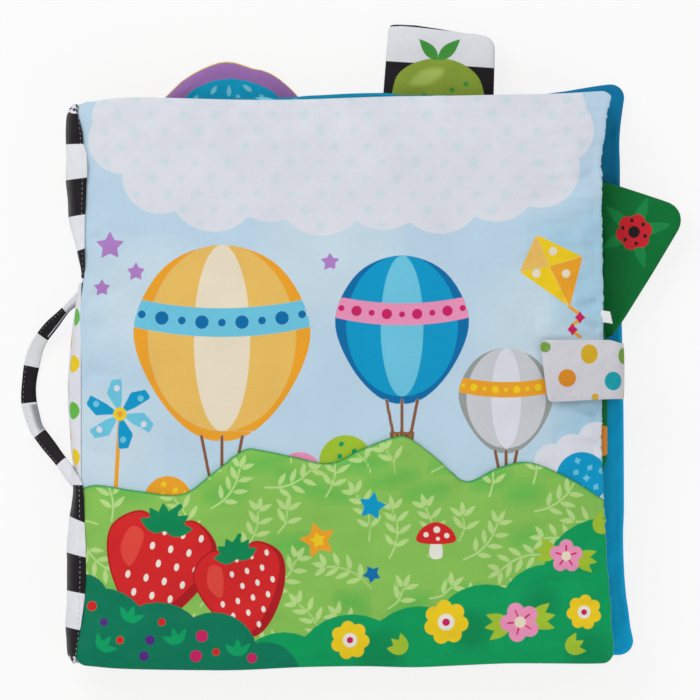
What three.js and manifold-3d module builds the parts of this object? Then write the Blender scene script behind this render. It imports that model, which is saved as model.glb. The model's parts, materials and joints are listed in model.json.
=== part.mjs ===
// A crinkle cloth book for babies: four padded leaves sewn to a soft striped spine, with a
// carrying loop, three tabs, a leafy pocket and a strap that closes the book.
// Millimetres. The book lies closed on its back cover: +X to the fore edge, +Y to its head, +Z up.
import * as THREE from "three";
import { mergeVertices } from "three/addons/utils/BufferGeometryUtils.js";
import Module from "manifold-3d";

const wasm = await Module();
wasm.setup();

// Cloth, film and the room between layers
const clearance = 0.3;
const cloth = 0.8;
const film = 0.3;
const overrun = 20; // how far a cutting body reaches past what it cuts

// Leaves, all sewn the same way
const leaf_thickness = 7.6;
const leaf_gap = 0.6;
const rim_thickness = 2.4;
const edge_roll = 20; // from the seam to where a leaf is full thick
const seam_allowance = 3;
const padding_inset = 6;
const film_inset = 8;
const cover_crown = 1.8;
const corner_radius = 7;

// The spine seam, where every leaf begins, and the book's head and foot
const spine_seam = 118.3; // from the origin to the seam
const foot = 138.2;
const cover_width = 230.7;
const cover_foot_flare = 2.2; // the front cover is wider at its foot
const cover_fore_hollow = 2.8;
const cover_spine_height = 245.8;
const cover_fore_height = 250.8;
const cover_head_bow = 0.3;
const cover_foot_bow = 3.3;
const page_spine_shortfall = 3.6; // a page is shorter than the front cover, at the spine and fore edge
const page_fore_shortfall = 4.5;
const page_rise = 1.5; // a page's foot lies this far inside the front cover's
const page_head_bow = 3.3;
const page_foot_bow = 1.8;
const page_flare = 2.2;
const back_overhang = 7; // the back cover is wider than the front cover
const back_foot_flare = 4;
const back_fore_hollow = 3;
const back_rise = 2.5;
const back_spine_shortfall = 5.6;
const back_head_hollow = 4;
const back_foot_bow = 0.6;

// Spine: its cloth swells in three lobes between the places where the loop is sewn in
const spine_swell = 5.6;
const spine_end_inset = 1.5;
const strap_thickness = 1;
const strap_low_angle = -Math.PI / 18; // round the spine, up from its middle
const strap_high_angle = (Math.PI * 5) / 12;
const strap_upper_end = 21.5;
const strap_lower_end = 59;

// Carrying loop
const loop_width = 6.6;
const loop_thickness = 2;
const loop_span = 86.5;
const loop_reach = 24.1; // from the seam to the middle of the strap
const loop_middle = 18.6; // below the book's centre
const loop_root_height = 18;

// Leafy pocket on the front cover
const pocket_cloth = 0.9;
const pocket_inset = 1.5;

// Closing strap
const closure_width = 27.3;
const closure_head = 2.9; // its upper edge above the book's centre
const closure_reach = 36.4; // how far it lies over the front cover
const closure_slant = 4.4;
const closure_thickness = 1.3;
const closure_bend = 4.5;
const closure_corner = 4;
const patch_thickness = 0.7;
const patch_margin = 3;
const patch_length = 20;

// Tabs and flaps, sewn into the second page
const tab_thickness = 2.7;
const tab_root_gap = 0.6;
const tab_film_inset_share = 0.86;
const top_tab_left = 14.9;
const top_tab_width = 47.6;
const top_tab_height = 30.19;
const top_tab_slope = 4;
const top_tab_lean = 1.3;
const top_tab_corner = 5;
const arch_radius = 36;
const arch_centre = 53; // left of the book's centre
const arch_height = 14.4;
const flap_head = 71.8;
const flap_foot = 1.9;
const flap_reach = 36.19;
const flap_tip_drop = 11.8;
const flap_corner = 8.5;

// Care label in the front cover's fore seam
const label_width = 5.3;
const label_length = 3.6;
const label_thickness = 0.5;
const label_head = 16;

// Counts of facets
const side_steps = 6;
const corner_steps = 3;
const arc_steps = 6;
const arch_steps = 20;
const loop_steps = 24;
const loop_across_steps = 2;
const spine_strip_steps = 4;
const spine_room_steps = 12;
const strap_steps = 5;

// Where a leaf's surface has its rings, as shares of the edge roll
const roll_shares = [0, 0.075, 0.25, 0.55, 1];
const crown_shares = [0.28, 0.6]; // further rings on a crowned leaf, from the roll to the middle

// The spine's outline seen from above: height along the seam, and share of the swell
const spine_lobe_shares = [
  [0, 0.5],
  [0.02, 0.93],
  [0.05, 1],
  [0.1, 0.86],
  [0.186, 0.84],
  [0.241, 0.68],
  [0.296, 0.3],
  [0.333, 0.46],
  [0.387, 0.7],
  [0.479, 0.89],
  [0.552, 0.7],
  [0.625, 0.38],
  [0.68, 0.13],
  [0.735, 0.22],
  [0.79, 0.68],
  [0.845, 0.84],
  [0.9, 0.92],
  [0.97, 0.92],
  [1, 0.5],
];

// The carrying loop's line seen from above: shares of its reach and of half its span
const loop_line_shares = [
  [0, 1],
  [0.18, 0.88],
  [0.4, 0.755],
  [0.6, 0.63],
  [0.76, 0.51],
  [0.87, 0.39],
  [0.955, 0.2],
  [1, 0],
  [0.985, -0.18],
  [0.92, -0.31],
  [0.8, -0.455],
  [0.53, -0.655],
  [0.27, -0.835],
  [0, -1],
];

// The pocket's scalloped mouth: shares of the cover's half width and half height
const pocket_edge_shares = [
  [-1.05, -0.5],
  [-0.95, -0.46],
  [-0.78, -0.49],
  [-0.63, -0.5],
  [-0.47, -0.38],
  [-0.32, -0.34],
  [-0.06, -0.39],
  [0.1, -0.32],
  [0.21, -0.29],
  [0.33, -0.34],
  [0.45, -0.45],
  [0.57, -0.44],
  [0.7, -0.39],
  [0.84, -0.44],
  [1.05, -0.54],
];

// Roughness of satin and of film
const satin = 0.55;
const crinkle = 0.35;

// Colours from the photograph
const colours = {
  sky: 0xbed8e9,
  white: 0xdee1e8,
  black: 0x16121a,
  teal: 0x008cb4,
  blue: 0x008cc3,
  green: 0x007332,
  foliage: 0x46b44b,
  yellow: 0xd7b428,
  purple: 0x8b5fa5,
  orange: 0xda8c23,
  padding: 0xf2f2ee,
  film: 0xd8dce0,
  hook: 0xe8e8e8,
};

// A cloth-like or film-like finish in one of the book's colours.
function finish(colour, roughness = 0.75) {
  return new THREE.MeshStandardMaterial({ color: colours[colour], roughness, metalness: 0 });
}

// A closed body as three.js geometry, from corner points and triangles.
function bodyOf(points, triangles) {
  const geometry = new THREE.BufferGeometry();
  geometry.setAttribute("position", new THREE.Float32BufferAttribute(points.flat(), 3));
  geometry.setIndex(triangles.flat());
  geometry.computeVertexNormals();
  return geometry;
}

// A geometry as a solid that can be joined or cut.
function solidOf(geometry) {
  const bare = geometry.clone();
  bare.deleteAttribute("normal");
  bare.deleteAttribute("uv");
  const merged = mergeVertices(bare);
  return new wasm.Manifold(
    new wasm.Mesh({
      numProp: 3,
      vertProperties: new Float32Array(merged.attributes.position.array),
      triVerts: new Uint32Array(merged.index.array),
    }),
  );
}

// A joined or cut solid as three.js geometry again.
function geometryOf(solid) {
  const mesh = solid.getMesh();
  const geometry = new THREE.BufferGeometry();
  geometry.setAttribute("position", new THREE.BufferAttribute(mesh.vertProperties, 3));
  geometry.setIndex(new THREE.BufferAttribute(mesh.triVerts, 1));
  geometry.computeVertexNormals();
  return geometry;
}

// What two geometries have in common.
function common(first, second) {
  return geometryOf(solidOf(first).intersect(solidOf(second)));
}

// The first geometry with the second cut out of it.
function without(first, second) {
  return geometryOf(solidOf(first).subtract(solidOf(second)));
}

// An outline in plan made a plate between two heights.
function plate(outline, low, high) {
  const geometry = new THREE.ExtrudeGeometry(new THREE.Shape(outline), {
    depth: high - low,
    bevelEnabled: false,
  });
  return geometry.translate(0, 0, low);
}

// A profile of x and z made a bar from one y to another.
function bar(profile, from, to) {
  const geometry = new THREE.ExtrudeGeometry(profile, {
    depth: to - from,
    bevelEnabled: false,
    curveSegments: arc_steps,
  });
  return geometry.rotateX(Math.PI / 2).translate(0, to, 0);
}

// The points of a polygon whose corners are rounded, each by its own radius.
function roundedPolygon(corners, radii) {
  return corners.flatMap((corner, i) => {
    const before = corners[(i + corners.length - 1) % corners.length];
    const after = corners[(i + 1) % corners.length];
    if (!radii[i]) return [corner];
    const back = before.clone().sub(corner).normalize();
    const on = after.clone().sub(corner).normalize();
    const half = Math.acos(THREE.MathUtils.clamp(back.dot(on), -1, 1)) / 2;
    const centre = back.clone().add(on).normalize().multiplyScalar(radii[i] / Math.sin(half)).add(corner);
    const start = back.multiplyScalar(radii[i] / Math.tan(half)).add(corner).sub(centre);
    const end = on.multiplyScalar(radii[i] / Math.tan(half)).add(corner).sub(centre);
    const turn = Math.atan2(start.cross(end), start.dot(end));
    return Array.from({ length: arc_steps + 1 }, (_, k) =>
      start.clone().rotateAround(new THREE.Vector2(), (turn * k) / arc_steps).add(centre),
    );
  });
}

// A sheet between two grids of points, rows by columns, closed along its four sides.
function gridSheet(rows, columns, over, under) {
  const points = [];
  for (const surface of [over, under])
    for (let r = 0; r <= rows; r++) for (let c = 0; c <= columns; c++) points.push(surface(r, c));
  const top = (r, c) => r * (columns + 1) + c;
  const low = (r, c) => top(r, c) + (rows + 1) * (columns + 1);
  const triangles = [];
  const quad = (a, b, c, d) => triangles.push([a, b, c], [a, c, d]);
  for (let r = 0; r < rows; r++)
    for (let c = 0; c < columns; c++) {
      quad(top(r, c), top(r, c + 1), top(r + 1, c + 1), top(r + 1, c));
      quad(low(r, c), low(r + 1, c), low(r + 1, c + 1), low(r, c + 1));
    }
  for (let c = 0; c < columns; c++) {
    quad(low(0, c), low(0, c + 1), top(0, c + 1), top(0, c));
    quad(top(rows, c), top(rows, c + 1), low(rows, c + 1), low(rows, c));
  }
  for (let r = 0; r < rows; r++) {
    quad(top(r, 0), top(r + 1, 0), low(r + 1, 0), low(r, 0));
    quad(low(r, columns), low(r + 1, columns), top(r + 1, columns), top(r, columns));
  }
  return bodyOf(points, triangles);
}

// The plan of one leaf: a four-sided shape with bowed edges, in coordinates u and v from -1 to 1.
function leafPlan(size) {
  const half_width = size.width / 2;
  const half_height = (size.spine_height + size.fore_height) / 4;
  const left = -spine_seam;
  const bottom = -size.foot;
  const rightAt = (v) =>
    left + size.width + (size.flare * (1 - v)) / 2 - size.fore_hollow * (1 - v * v);
  const topAt = (u) =>
    bottom +
    (size.spine_height * (1 - u)) / 2 +
    (size.fore_height * (1 + u)) / 2 +
    size.head_bow * (1 - u * u);
  const bottomAt = (u) => bottom - size.foot_bow * (1 - u * u);
  const place = (u, v) => [
    (left * (1 - u)) / 2 + (rightAt(v) * (1 + u)) / 2,
    (bottomAt(u) * (1 - v)) / 2 + (topAt(u) * (1 + v)) / 2,
  ];
  const uAt = (x, v) => (2 * x - left - rightAt(v)) / (rightAt(v) - left);
  return { half_width, half_height, rightAt, topAt, place, uAt };
}

// The rounded square that a leaf's seam follows, in u and v.
function seamPath(plan) {
  const ru = corner_radius / plan.half_width;
  const rv = corner_radius / plan.half_height;
  const path = [];
  for (const [k, [su, sv]] of [[1, 1], [-1, 1], [-1, -1], [1, -1]].entries()) {
    for (let i = 0; i <= corner_steps; i++) {
      const angle = ((k + i / corner_steps) * Math.PI) / 2;
      path.push([su * (1 - ru) + ru * Math.cos(angle), sv * (1 - rv) + rv * Math.sin(angle)]);
    }
    const [fromU, fromV] = path.at(-1);
    const [toU, toV] = [
      [-(1 - ru), 1],
      [-1, -(1 - rv)],
      [1 - ru, -1],
      [1, 1 - rv],
    ][k];
    for (let i = 1; i < side_steps; i++) {
      const share = i / side_steps;
      path.push([fromU + (toU - fromU) * share, fromV + (toV - fromV) * share]);
    }
  }
  return path;
}

// A layer of a leaf: rings at given distances inside the seam, and a point in the middle.
function leafSheet(plan, insets, over, under) {
  const seam = seamPath(plan);
  const count = seam.length;
  const points = [];
  for (const surface of [over, under]) {
    for (const inset of insets)
      for (const [su, sv] of seam) {
        const u = su * (1 - inset / plan.half_width);
        const v = sv * (1 - inset / plan.half_height);
        points.push([...plan.place(u, v), surface(inset, u, v)]);
      }
    points.push([...plan.place(0, 0), surface(plan.half_width, 0, 0)]);
  }
  const triangles = [];
  const layer = insets.length * count + 1;
  const quad = (a, b, c, d) => triangles.push([a, b, c], [a, c, d]);
  for (let i = 0; i < count; i++) {
    const j = (i + 1) % count;
    for (let r = 0; r + 1 < insets.length; r++) {
      const [a, b, c, d] = [r * count + i, r * count + j, (r + 1) * count + j, (r + 1) * count + i];
      quad(a, b, c, d);
      quad(a + layer, d + layer, c + layer, b + layer);
    }
    const last = (insets.length - 1) * count;
    triangles.push([last + i, last + j, layer - 1]);
    triangles.push([layer + last + j, layer + last + i, 2 * layer - 1]);
    quad(layer + i, layer + j, j, i);
  }
  return bodyOf(points, triangles);
}

// How far a leaf has risen to its full thickness, a given way inside its seam.
function swell(inset) {
  const share = THREE.MathUtils.clamp(inset / edge_roll, 0, 1);
  return Math.sqrt(1 - (1 - share) ** 2);
}

const outerHalf = (inset) => rim_thickness / 2 + ((leaf_thickness - rim_thickness) / 2) * swell(inset);
const innerHalf = (inset) =>
  clearance / 2 + (leaf_thickness / 2 - cloth - clearance / 2) * swell(inset - seam_allowance);

// The rings of a leaf's surface, and the further ones of a crowned leaf.
function leafInsets(plan, crown, from = 0) {
  const roll = roll_shares.map((share) => share * edge_roll).filter((inset) => inset > from);
  const more = crown ? crown_shares.map((s) => edge_roll + s * (plan.half_width - edge_roll)) : [];
  return [from, ...roll, ...more];
}

// One padded leaf: two cloths sewn together round their rim, wadding and a crinkle film.
function paddedLeaf(name, plan, level, crown, upper, lower) {
  const middle = level * (leaf_thickness + leaf_gap) + leaf_thickness / 2;
  const dome = (u, v) => crown * (1 - u * u) * (1 - v * v);
  const surface = (half, side, lift = 0) => (inset, u, v) =>
    middle + side * (half(inset) + lift) + (side > 0 ? dome(u, v) : 0);
  const insets = leafInsets(plan, crown);
  const pieces = {
    [upper.name]: [
      leafSheet(plan, insets, surface(outerHalf, 1), surface(innerHalf, 1)),
      finish(upper.colour, satin),
    ],
    [lower.name]: [
      leafSheet(plan, insets, surface(innerHalf, -1), surface(outerHalf, -1)),
      finish(lower.colour, satin),
    ],
    [`${name}_padding`]: [
      leafSheet(
        plan,
        leafInsets(plan, crown, padding_inset),
        surface(innerHalf, 1, -3 * clearance - film),
        surface(innerHalf, -1, -clearance),
      ),
      finish("padding", 0.95),
    ],
    [`${name}_crinkle_film`]: [
      leafSheet(
        plan,
        leafInsets(plan, crown, film_inset).filter((inset) => inset === film_inset || inset >= edge_roll),
        surface(innerHalf, 1, -clearance),
        surface(innerHalf, 1, -clearance - film),
      ),
      finish("film", crinkle),
    ],
  };
  const layer = (low, high) =>
    leafSheet(
      plan,
      leafInsets(plan, crown, pocket_inset),
      surface(outerHalf, 1, high),
      surface(outerHalf, 1, low),
    );
  return { pieces, middle, layer, dome };
}

// Plans of the four leaves
const cover_plan = leafPlan({
  width: cover_width,
  foot,
  flare: cover_foot_flare,
  fore_hollow: cover_fore_hollow,
  spine_height: cover_spine_height,
  fore_height: cover_fore_height,
  head_bow: cover_head_bow,
  foot_bow: cover_foot_bow,
});
const page_fore_height = cover_fore_height - page_fore_shortfall;
const page = {
  width: cover_width,
  foot: foot - page_rise,
  flare: 0,
  fore_hollow: 0,
  spine_height: cover_spine_height - page_spine_shortfall,
  fore_height: page_fore_height,
  head_bow: page_head_bow,
  foot_bow: page_foot_bow,
};
const first_page_plan = leafPlan(page);
const second_page_plan = leafPlan({ ...page, flare: page_flare });
const back_plan = leafPlan({
  width: cover_width + back_overhang,
  foot: foot - back_rise,
  flare: back_foot_flare,
  fore_hollow: back_fore_hollow,
  spine_height: cover_spine_height - back_spine_shortfall,
  fore_height: cover_fore_height,
  head_bow: -back_head_hollow,
  foot_bow: back_foot_bow,
});

const back_cover = paddedLeaf(
  "back_cover",
  back_plan,
  0,
  0,
  { name: "back_cover_inner_cloth", colour: "blue" },
  { name: "back_cover_outer_cloth", colour: "blue" },
);
const leaf_2 = paddedLeaf(
  "leaf_2",
  second_page_plan,
  1,
  0,
  { name: "leaf_2_front_cloth", colour: "purple" },
  { name: "leaf_2_back_cloth", colour: "orange" },
);
const leaf_1 = paddedLeaf(
  "leaf_1",
  first_page_plan,
  2,
  0,
  { name: "leaf_1_front_cloth", colour: "teal" },
  { name: "leaf_1_back_cloth", colour: "green" },
);
const front_cover = paddedLeaf(
  "front_cover",
  cover_plan,
  3,
  cover_crown,
  { name: "front_cover_outer_cloth", colour: "sky" },
  { name: "front_cover_inner_cloth", colour: "yellow" },
);

// The spine's cross-section is half an ellipse between the two covers' seams. A point on it is
// given by an angle from the middle, a height along the seam and a distance off the cloth's middle.
const spine_low = -foot + back_rise + spine_end_inset;
const spine_high = -foot + cover_spine_height - spine_end_inset;
const spine_centre = (front_cover.middle + back_cover.middle) / 2;
const spine_half_height = (front_cover.middle - back_cover.middle) / 2;

const spineRow = ([along, share]) => ({
  y: spine_low + along * (spine_high - spine_low),
  swell: share * spine_swell,
});

function spinePoint({ y, swell: reach }, angle, off) {
  const [nx, nz] = [Math.cos(angle) / reach, Math.sin(angle) / spine_half_height];
  const length = Math.hypot(nx, nz);
  return [
    -spine_seam - clearance - cloth / 2 - reach * Math.cos(angle) - (off * nx) / length,
    y,
    spine_centre + spine_half_height * Math.sin(angle) + (off * nz) / length,
  ];
}

// The spine's rows between two heights, with a row of its own at each end.
function spineRows(low, high) {
  const rows = spine_lobe_shares.map(spineRow);
  const rowAt = (y) => {
    const next = rows.findIndex((row) => row.y > y);
    const [a, b] = [rows[next - 1], rows[next]];
    return { y, swell: a.swell + ((b.swell - a.swell) * (y - a.y)) / (b.y - a.y) };
  };
  return [rowAt(low), ...rows.filter((row) => row.y > low && row.y < high), rowAt(high)];
}

// A strip of cloth that follows the spine between two angles.
function spineStrip(rows, low_angle, high_angle, steps, inside, outside) {
  const angle = (c) => low_angle + ((high_angle - low_angle) * c) / steps;
  return gridSheet(
    rows.length - 1,
    steps,
    (r, c) => spinePoint(rows[r], angle(c), outside),
    (r, c) => spinePoint(rows[r], angle(c), inside),
  );
}

const spine_rows = spine_lobe_shares.map(spineRow);
const page_angle = Math.asin((leaf_1.middle - spine_centre) / spine_half_height);
const strip_gap = clearance / spine_half_height;

// Parts of the spine's cloth, one at each place where the book opens.
const spine_pieces = {};
for (const [name, low, high] of [
  ["lower", -Math.PI / 2, -page_angle - strip_gap],
  ["middle", -page_angle, page_angle],
  ["upper", page_angle + strip_gap, Math.PI / 2],
])
  spine_pieces[`spine_cloth_${name}`] = [
    spineStrip(spine_rows, low, high, spine_strip_steps, -cloth / 2, cloth / 2),
    finish("white"),
  ];

// The striped strap sewn down the spine, above and below the carrying loop.
const strap_inside = cloth / 2 + clearance;
for (const [name, low, high] of [
  ["upper", strap_upper_end, spine_high - spine_end_inset],
  ["lower", spine_low + spine_end_inset, -strap_lower_end],
])
  spine_pieces[`spine_strap_${name}`] = [
    spineStrip(
      spineRows(low, high),
      strap_low_angle,
      strap_high_angle,
      strap_steps,
      strap_inside,
      strap_inside + strap_thickness,
    ),
    finish("black"),
  ];

// The room that the spine takes up, out to just past the strap's face.
const spineAngle = (c) => Math.PI * (c / spine_room_steps - 0.5);
const spine_room = gridSheet(
  spine_rows.length - 1,
  spine_room_steps,
  (r, c) => spinePoint(spine_rows[r], spineAngle(c), strap_inside + strap_thickness + clearance),
  (r, c) => [overrun - spine_seam, spine_rows[r].y, spinePoint(spine_rows[r], spineAngle(c), 0)[2]],
);

// The carrying loop leaves the spine level and settles on the table.
const loop_line = new THREE.SplineCurve(
  loop_line_shares.map(
    ([out, along]) =>
      new THREE.Vector2(-spine_seam - out * loop_reach, (along * loop_span) / 2 - loop_middle),
  ),
);
const loop_far = -spine_seam - loop_reach - loop_width / 2;

function loopPoint(share, across, off) {
  const middle = loop_line.getPointAt(share);
  const along = loop_line.getTangentAt(share);
  const x = middle.x + along.y * across;
  const fall = THREE.MathUtils.smoothstep((-spine_seam - x) / (-spine_seam - loop_far), 0, 1);
  const level = loop_root_height - (loop_root_height - loop_thickness / 2) * fall;
  return [x, middle.y - along.x * across, level + off];
}

const loopAcross = (c) => loop_width * (c / loop_across_steps - 0.5);
const loop_whole = gridSheet(
  loop_steps,
  loop_across_steps,
  (r, c) => loopPoint(r / loop_steps, loopAcross(c), loop_thickness / 2),
  (r, c) => loopPoint(r / loop_steps, loopAcross(c), -loop_thickness / 2),
);
const handle_pieces = { handle_loop: [without(loop_whole, spine_room), finish("black")] };

// The pocket: a layer on the lower half of the front cover with a scalloped mouth.
const pocket_edge = new THREE.SplineCurve(
  pocket_edge_shares.map(([u, v]) => {
    const [x, y] = cover_plan.place(u, v);
    return new THREE.Vector2(x, y);
  }),
).getPoints(2 * pocket_edge_shares.length);
const pocket_outline = [
  ...pocket_edge,
  new THREE.Vector2(cover_width / 2 + overrun, -foot - overrun),
  new THREE.Vector2(-spine_seam - overrun, -foot - overrun),
];
const cover_top = front_cover.middle + leaf_thickness / 2 + cover_crown;
const foliage_pocket = common(
  front_cover.layer(clearance, clearance + pocket_cloth),
  plate(pocket_outline, front_cover.middle, cover_top + overrun),
);

// The closing strap: up the fore edge from the back cover and over onto the front cover.
const closure_foot = closure_head - closure_width;
const closure_out = Math.max(
  ...[closure_head, closure_foot].map((y) => back_plan.rightAt((2 * (y + foot)) / cover_fore_height - 1)),
) + clearance + closure_thickness;
const closure_end = closure_out - closure_reach;
const closure_low = back_cover.middle - rim_thickness / 2;
const patch_rise = 3 * clearance + 2 * patch_thickness;
const closure_under =
  front_cover.middle +
  leaf_thickness / 2 +
  front_cover.dome(cover_plan.uAt(closure_end, 0), 0) +
  patch_rise;
const closure_top = closure_under + closure_thickness;
const bend_x = closure_out - closure_bend;
const bend_z = closure_top - closure_bend;

const end_profile = new THREE.Shape();
end_profile.moveTo(closure_end, closure_under);
end_profile.lineTo(bend_x, closure_under);
end_profile.absarc(bend_x, bend_z, closure_bend - closure_thickness, Math.PI / 2, 0, true);
end_profile.lineTo(closure_out, bend_z);
end_profile.absarc(bend_x, bend_z, closure_bend, 0, Math.PI / 2, false);
end_profile.lineTo(closure_end, closure_top);

const end_outline = roundedPolygon(
  [
    new THREE.Vector2(closure_end + closure_slant, closure_foot),
    new THREE.Vector2(closure_out + overrun, closure_foot),
    new THREE.Vector2(closure_out + overrun, closure_head),
    new THREE.Vector2(closure_end, closure_head),
  ],
  [closure_corner, 0, 0, closure_corner],
);

const side_profile = new THREE.Shape([
  new THREE.Vector2(closure_out - closure_thickness, closure_low),
  new THREE.Vector2(closure_out, closure_low),
  new THREE.Vector2(closure_out, bend_z - clearance),
  new THREE.Vector2(closure_out - closure_thickness, bend_z - clearance),
]);

const patch_left = closure_end + closure_slant + patch_margin;
const patch_outline = [
  new THREE.Vector2(patch_left, closure_foot + patch_margin),
  new THREE.Vector2(patch_left + patch_length, closure_foot + patch_margin),
  new THREE.Vector2(patch_left + patch_length, closure_head - patch_margin),
  new THREE.Vector2(patch_left, closure_head - patch_margin),
];

const closure_pieces = {
  closure_side_strap: [bar(side_profile, closure_foot, closure_head), finish("white")],
  closure_end_strap: [
    common(
      bar(end_profile, closure_foot, closure_head),
      plate(end_outline, bend_z - overrun, closure_top + overrun),
    ),
    finish("white"),
  ],
  closure_hook_patch: [
    plate(patch_outline, closure_under - clearance - patch_thickness, closure_under - clearance),
    finish("hook", 0.9),
  ],
};
const closure_loop_patch = common(
  front_cover.layer(clearance, clearance + patch_thickness),
  plate(patch_outline, front_cover.middle, cover_top + overrun),
);

// The care label stands out of the front cover's fore seam.
const label_root = cover_plan.rightAt((2 * (label_head + foot)) / cover_fore_height - 1) + clearance;
const label_outline = [
  new THREE.Vector2(label_root, label_head - label_width),
  new THREE.Vector2(label_root + label_length, label_head - label_width),
  new THREE.Vector2(label_root + label_length, label_head),
  new THREE.Vector2(label_root, label_head),
];
const care_label = plate(
  label_outline,
  front_cover.middle - label_thickness / 2,
  front_cover.middle + label_thickness / 2,
);

// A tab of two cloths with crinkle film between them, at the second page's seam.
function tabPieces(name, outline, front, back) {
  const middle = leaf_2.middle;
  const centre = outline
    .reduce((sum, point) => sum.add(point), new THREE.Vector2())
    .divideScalar(outline.length);
  const inner = outline.map((point) =>
    point.clone().sub(centre).multiplyScalar(tab_film_inset_share).add(centre),
  );
  const half = tab_thickness / 2;
  return {
    [`${name}_front_cloth`]: [plate(outline, middle + half - cloth, middle + half), finish(front)],
    [`${name}_back_cloth`]: [plate(outline, middle - half, middle - half + cloth), finish(back)],
    [`${name}_crinkle_film`]: [
      plate(inner, middle - film / 2, middle + film / 2),
      finish("film", crinkle),
    ],
  };
}

const top_tab_right = top_tab_left + top_tab_width;
const headAt = (x) => second_page_plan.topAt(second_page_plan.uAt(x, 1));
const rootAbove = (left, right) =>
  Math.max(headAt(left), headAt((left + right) / 2), headAt(right)) + tab_root_gap;
const top_tab_root = rootAbove(top_tab_left, top_tab_right);
const top_tab_outline = roundedPolygon(
  [
    new THREE.Vector2(top_tab_left, top_tab_root),
    new THREE.Vector2(top_tab_right, top_tab_root),
    new THREE.Vector2(top_tab_right, top_tab_root + top_tab_height - top_tab_slope),
    new THREE.Vector2(top_tab_left + top_tab_lean, top_tab_root + top_tab_height),
  ],
  [0, 0, top_tab_corner, top_tab_corner],
);

// The arch is a segment of a disc that rises from a straight root.
const arch_half_angle = Math.acos((arch_radius - arch_height) / arch_radius);
const arch_half_chord = arch_radius * Math.sin(arch_half_angle);
const arch_root = rootAbove(-arch_centre - arch_half_chord, -arch_centre + arch_half_chord);
const arch_disc_y = arch_root + arch_height - arch_radius;
const arch_outline = Array.from({ length: arch_steps + 1 }, (_, k) => {
  const angle = Math.PI / 2 + arch_half_angle * ((2 * k) / arch_steps - 1);
  return new THREE.Vector2(
    -arch_centre + arch_radius * Math.cos(angle),
    arch_disc_y + arch_radius * Math.sin(angle),
  );
});

const flap_v = (2 * (flap_foot + foot - page_rise)) / page_fore_height - 1;
const flap_root = second_page_plan.rightAt(flap_v) + tab_root_gap;
const flap_outline = roundedPolygon(
  [
    new THREE.Vector2(flap_root, flap_foot),
    new THREE.Vector2(flap_root + flap_reach, flap_head - flap_tip_drop),
    new THREE.Vector2(flap_root, flap_head),
  ],
  [0, flap_corner, 0],
);

const book = new THREE.Group();
const everything = {
  ...back_cover.pieces,
  ...leaf_2.pieces,
  ...leaf_1.pieces,
  ...front_cover.pieces,
  foliage_pocket: [foliage_pocket, finish("foliage")],
  closure_loop_patch: [closure_loop_patch, finish("hook", 0.9)],
  care_label: [care_label, finish("white", satin)],
  ...spine_pieces,
  ...handle_pieces,
  ...closure_pieces,
  ...tabPieces("top_tab", top_tab_outline, "black", "white"),
  ...tabPieces("arch_flap", arch_outline, "purple", "yellow"),
  ...tabPieces("right_flap", flap_outline, "green", "green"),
};
for (const [name, [geometry, material]] of Object.entries(everything)) {
  const mesh = new THREE.Mesh(geometry, material);
  mesh.name = name;
  book.add(mesh);
}

export default book;
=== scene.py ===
import json
import math

import bpy
import numpy as np
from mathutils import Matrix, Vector

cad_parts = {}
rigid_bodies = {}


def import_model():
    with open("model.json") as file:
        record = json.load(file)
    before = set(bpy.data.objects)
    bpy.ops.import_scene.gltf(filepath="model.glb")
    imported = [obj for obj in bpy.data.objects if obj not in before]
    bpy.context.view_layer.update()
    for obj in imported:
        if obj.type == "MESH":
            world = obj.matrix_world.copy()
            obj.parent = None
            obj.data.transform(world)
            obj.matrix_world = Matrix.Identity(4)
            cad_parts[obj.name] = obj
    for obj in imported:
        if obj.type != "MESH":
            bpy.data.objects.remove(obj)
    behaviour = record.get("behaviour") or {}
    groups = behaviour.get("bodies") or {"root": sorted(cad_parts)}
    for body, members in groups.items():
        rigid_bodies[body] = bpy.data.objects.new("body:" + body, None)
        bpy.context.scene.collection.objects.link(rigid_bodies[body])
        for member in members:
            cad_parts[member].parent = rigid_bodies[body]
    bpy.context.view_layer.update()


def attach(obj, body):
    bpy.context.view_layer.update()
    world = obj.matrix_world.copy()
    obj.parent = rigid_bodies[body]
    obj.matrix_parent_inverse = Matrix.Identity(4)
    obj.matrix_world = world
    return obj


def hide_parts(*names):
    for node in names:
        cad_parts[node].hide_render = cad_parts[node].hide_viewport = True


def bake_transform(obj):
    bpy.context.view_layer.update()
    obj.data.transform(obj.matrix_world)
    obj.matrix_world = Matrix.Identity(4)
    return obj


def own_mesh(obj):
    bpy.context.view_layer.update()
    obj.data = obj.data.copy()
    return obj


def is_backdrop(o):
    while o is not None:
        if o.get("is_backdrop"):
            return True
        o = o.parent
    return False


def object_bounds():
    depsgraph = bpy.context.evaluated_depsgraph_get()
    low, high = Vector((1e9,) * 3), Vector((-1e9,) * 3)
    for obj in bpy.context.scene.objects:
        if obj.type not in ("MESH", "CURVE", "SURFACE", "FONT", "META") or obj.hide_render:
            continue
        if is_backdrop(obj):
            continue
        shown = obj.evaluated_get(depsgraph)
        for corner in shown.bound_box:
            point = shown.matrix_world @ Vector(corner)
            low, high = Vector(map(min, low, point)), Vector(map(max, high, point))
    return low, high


for left_over in list(bpy.data.objects):
    bpy.data.objects.remove(left_over)
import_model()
MM = 0.001
PIXEL = 0.44                    # mm in a pixel of the photograph, at the cover's height
LENS = -0.66, -1.54, 6030       # mm, where the camera hangs
LENS_TO_COVER = 6000            # mm
PHOTO = 700                     # pixels, the photograph's side
TAB_Z = 13                      # mm, the height at which the photograph shows the tabs
NO_INK = 9.0                    # mm, a distance at which an ink doesn't show
INK_EDGE = 0.16                 # mm, how softly most inks end


# Numbers, colours and grids

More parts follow.
